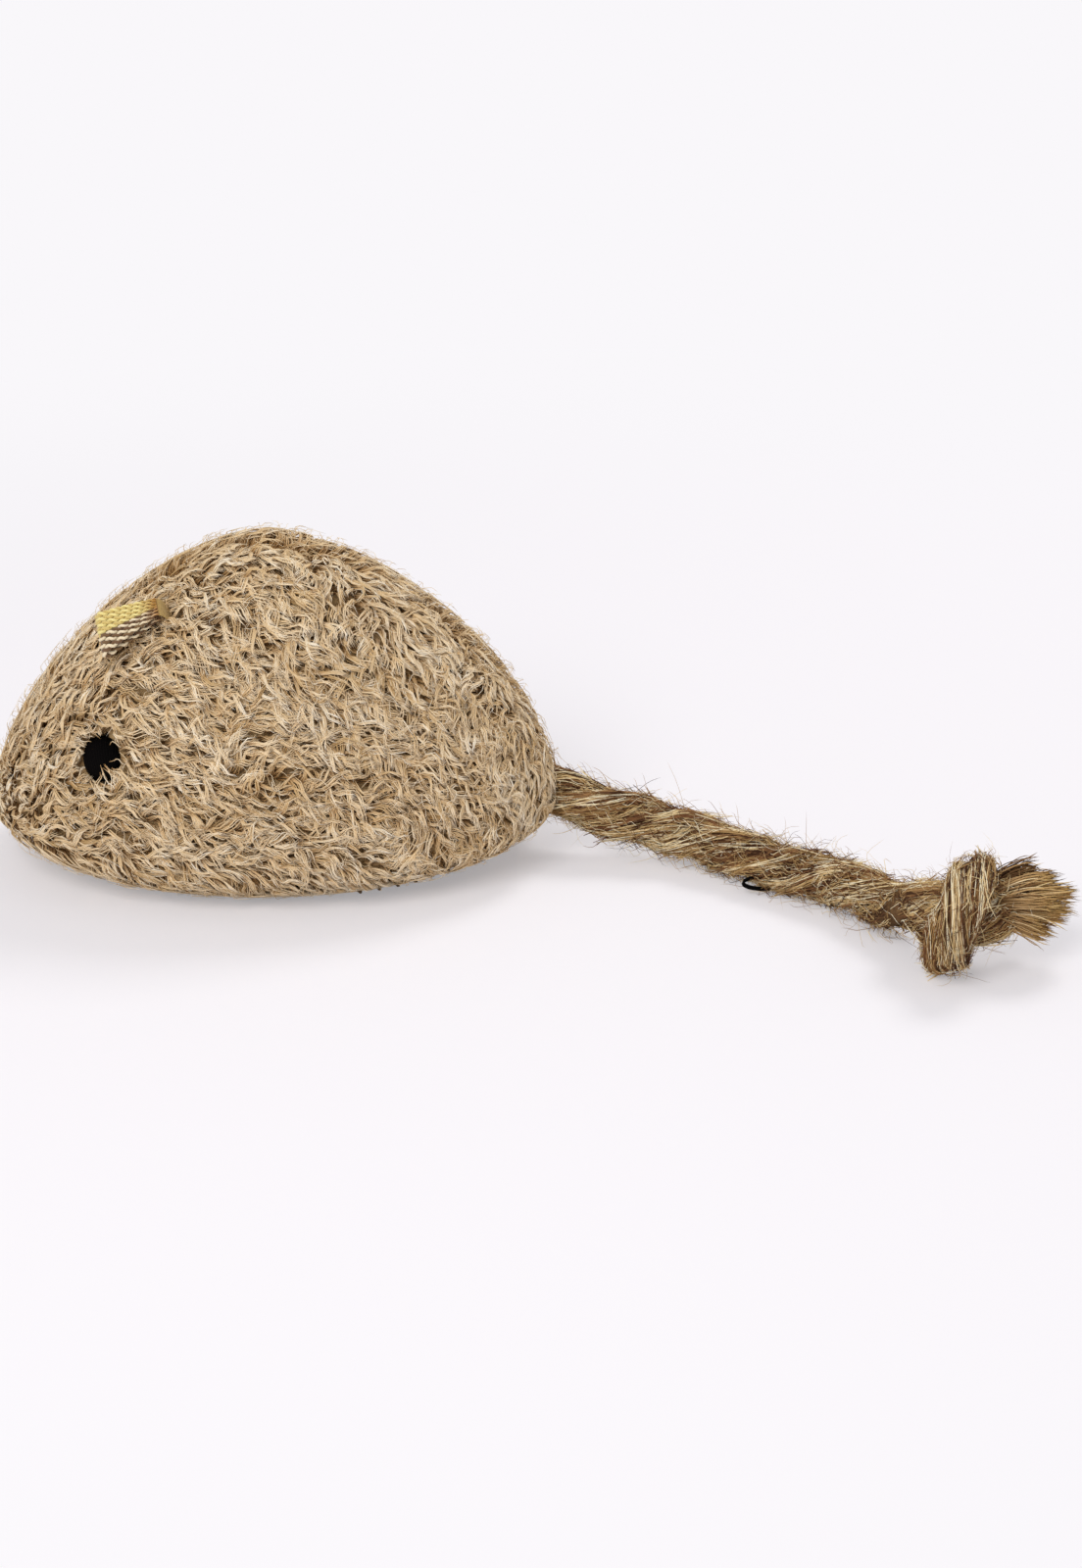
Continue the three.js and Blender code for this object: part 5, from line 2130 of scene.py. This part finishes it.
        def holds(local: Array) -> Array:
            """Test a cylinder along the rope."""
            near = np.hypot(local[..., 1], local[..., 2]) < self.radius * self.clear_share
            return near & (local[..., 0] > -self.clear_back) & (local[..., 0] < self.clear_ahead)

        return Obstacle(Matrix.Translation(self.exit) @ turn, holds)


@dataclass
class Filling:
    """What is sewn in and out of sight: stuffing, catnip and the end of the rope."""

    finishes: tuple[tuple[str, str], ...] = (
        ("stuffing", "fill"),
        ("catnip_fill", "herb"),
        ("tail_anchor", "hidden_rope"),
    )

    def dress(self, wardrobe: Wardrobe) -> None:
        """Give each hidden node its finish.

        Args:
            wardrobe: The finishes.
        """
        for node, finish in self.finishes:
            piece = frame["nodes"][node]
            piece.data.materials.clear()
            piece.data.materials.append(wardrobe(finish))
            LOG.info("dressed %s", node)


@dataclass(frozen=True)
class Lamp:
    """A round soft lamp: its place, how wide it is and its power."""

    name: str
    place: Point
    size: float
    power: float


@dataclass
class Studio:
    """The pale floor, the soft light and the camera."""

    look_at: Vector = field(default_factory=lambda: Vector((33.2, 3.075, 7.612)) * MM)
    elevation: float = math.radians(22)
    distance: float = 450 * MM
    lens: float = 81.4
    sensor: float = 36.0
    nearest: float = 0.01
    floor_size: float = 8.0
    floor_colour: Colour = srgb(246, 243, 246)
    floor_roughness: float = 0.9
    backdrop: Colour = srgb(249, 247, 250)
    floor_near: float = 80 * MM
    floor_far: float = 240 * MM
    floor_lift: float = 0.33
    sky: float = 0.485
    lamps: tuple[Lamp, ...] = (
        Lamp("behind", (0.26, 0.3, 0.52), 0.24, 1.35),
        Lamp("front", (-0.2, -0.55, 0.5), 0.45, 3.2),
    )
    lamp_aim: Point = (0.02, 0, 0.01)

    def build_camera(self) -> None:
        """Make the camera at the photograph's viewing angle."""
        data = bpy.data.cameras.new("camera")
        data.lens = self.lens
        data.sensor_width = self.sensor
        data.clip_start = self.nearest
        camera = bpy.data.objects.new("camera", data)
        bpy.context.scene.collection.objects.link(camera)
        away = Vector((0, -math.cos(self.elevation), math.sin(self.elevation)))
        camera.location = self.look_at + away * self.distance
        camera.rotation_euler = (math.pi / 2 - self.elevation, 0, 0)
        bpy.context.scene.camera = camera

    def build_floor(self) -> None:
        """Make the floor, which fades into the backdrop."""
        mesh = bpy.data.meshes.new("floor")
        shape = bmesh.new()
        bmesh.ops.create_grid(shape, x_segments=1, y_segments=1, size=self.floor_size / 2)
        shape.to_mesh(mesh)
        shape.free()
        tree = ShaderTree("studio_floor")
        place = tree.node("ShaderNodeTexCoord", None, None, "Object")
        spots = {0: place, 1: self.look_at}
        away = tree.node("ShaderNodeVectorMath", {"operation": "DISTANCE"}, spots, "Value")
        limits = {"From Min": self.floor_near, "From Max": self.floor_far}
        soft = {"interpolation_type": "SMOOTHSTEP"}
        far = tree.node("ShaderNodeMapRange", soft, {"Value": away, **limits})
        seen = tree.node("ShaderNodeLightPath", None, None, "Is Camera Ray")
        backdrop = tree.node("ShaderNodeEmission", None, {"Color": (*self.backdrop, 1), "Strength": 1.0})
        matt = {"Roughness": self.floor_roughness, "Specular IOR Level": 0.0}
        material = tree.surface(
            {"Base Color": (*self.floor_colour, 1), **matt},
            backdrop,
            (self.floor_lift + (1 - self.floor_lift) * far) * seen,
        )
        link(mesh, "floor", material)

    def build_light(self) -> None:
        """Make the sky and the soft lamps."""
        world = bpy.data.worlds.new("studio")
        bpy.context.scene.world = world
        tree = ShaderTree("studio", world)
        seen = tree.node("ShaderNodeLightPath", None, None, "Is Camera Ray")
        sky = tree.tree.nodes["Background"]
        sky.inputs["Color"].default_value = (*self.backdrop, 1)
        tree.tree.links.new((self.sky + (1 - self.sky) * seen).socket, sky.inputs["Strength"])
        for lamp in self.lamps:
            data = bpy.data.lights.new(lamp.name, "AREA")
            data.shape = "DISK"
            data.size = lamp.size
            data.energy = lamp.power
            holder = bpy.data.objects.new(lamp.name, data)
            bpy.context.scene.collection.objects.link(holder)
            holder.location = lamp.place
            aim = Vector(self.lamp_aim) - Vector(lamp.place)
            holder.rotation_euler = aim.to_track_quat("-Z", "Y").to_euler()
        bpy.context.scene.view_settings.view_transform = "Standard"


def main() -> None:
    """Build the toy around its frame, in order."""
    logging.basicConfig(level=logging.INFO, format="%(message)s")
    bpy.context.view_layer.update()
    wardrobe = Wardrobe(Finishes())
    form = BodyForm()
    studio = Studio()
    studio.build_camera()
    tail = RopeTail(wardrobe, np.random.default_rng(SEED + 1))
    tail.build()
    ears = [
        RibbonEar(wardrobe, form, Side.LEFT, tilt=math.radians(22), aside=math.radians(60)),
        RibbonEar(wardrobe, form, Side.RIGHT, tilt=math.radians(1), aside=math.radians(42)),
    ]
    eyes = [Eye(wardrobe, form, side) for side in Side]
    for part in (*ears, *eyes):
        part.build()
    base = Base(wardrobe, form)
    plush = Plush(wardrobe, form, base, np.random.default_rng(SEED))
    plush.build_skins()
    plush.build_back_seam()
    obstacles = [part.obstacle() for part in (*ears, *eyes, tail)]
    plush.build_pile(obstacles)
    base.build()
    Filling().dress(wardrobe)
    studio.build_floor()
    studio.build_light()


if __name__ == "__main__":
    main()
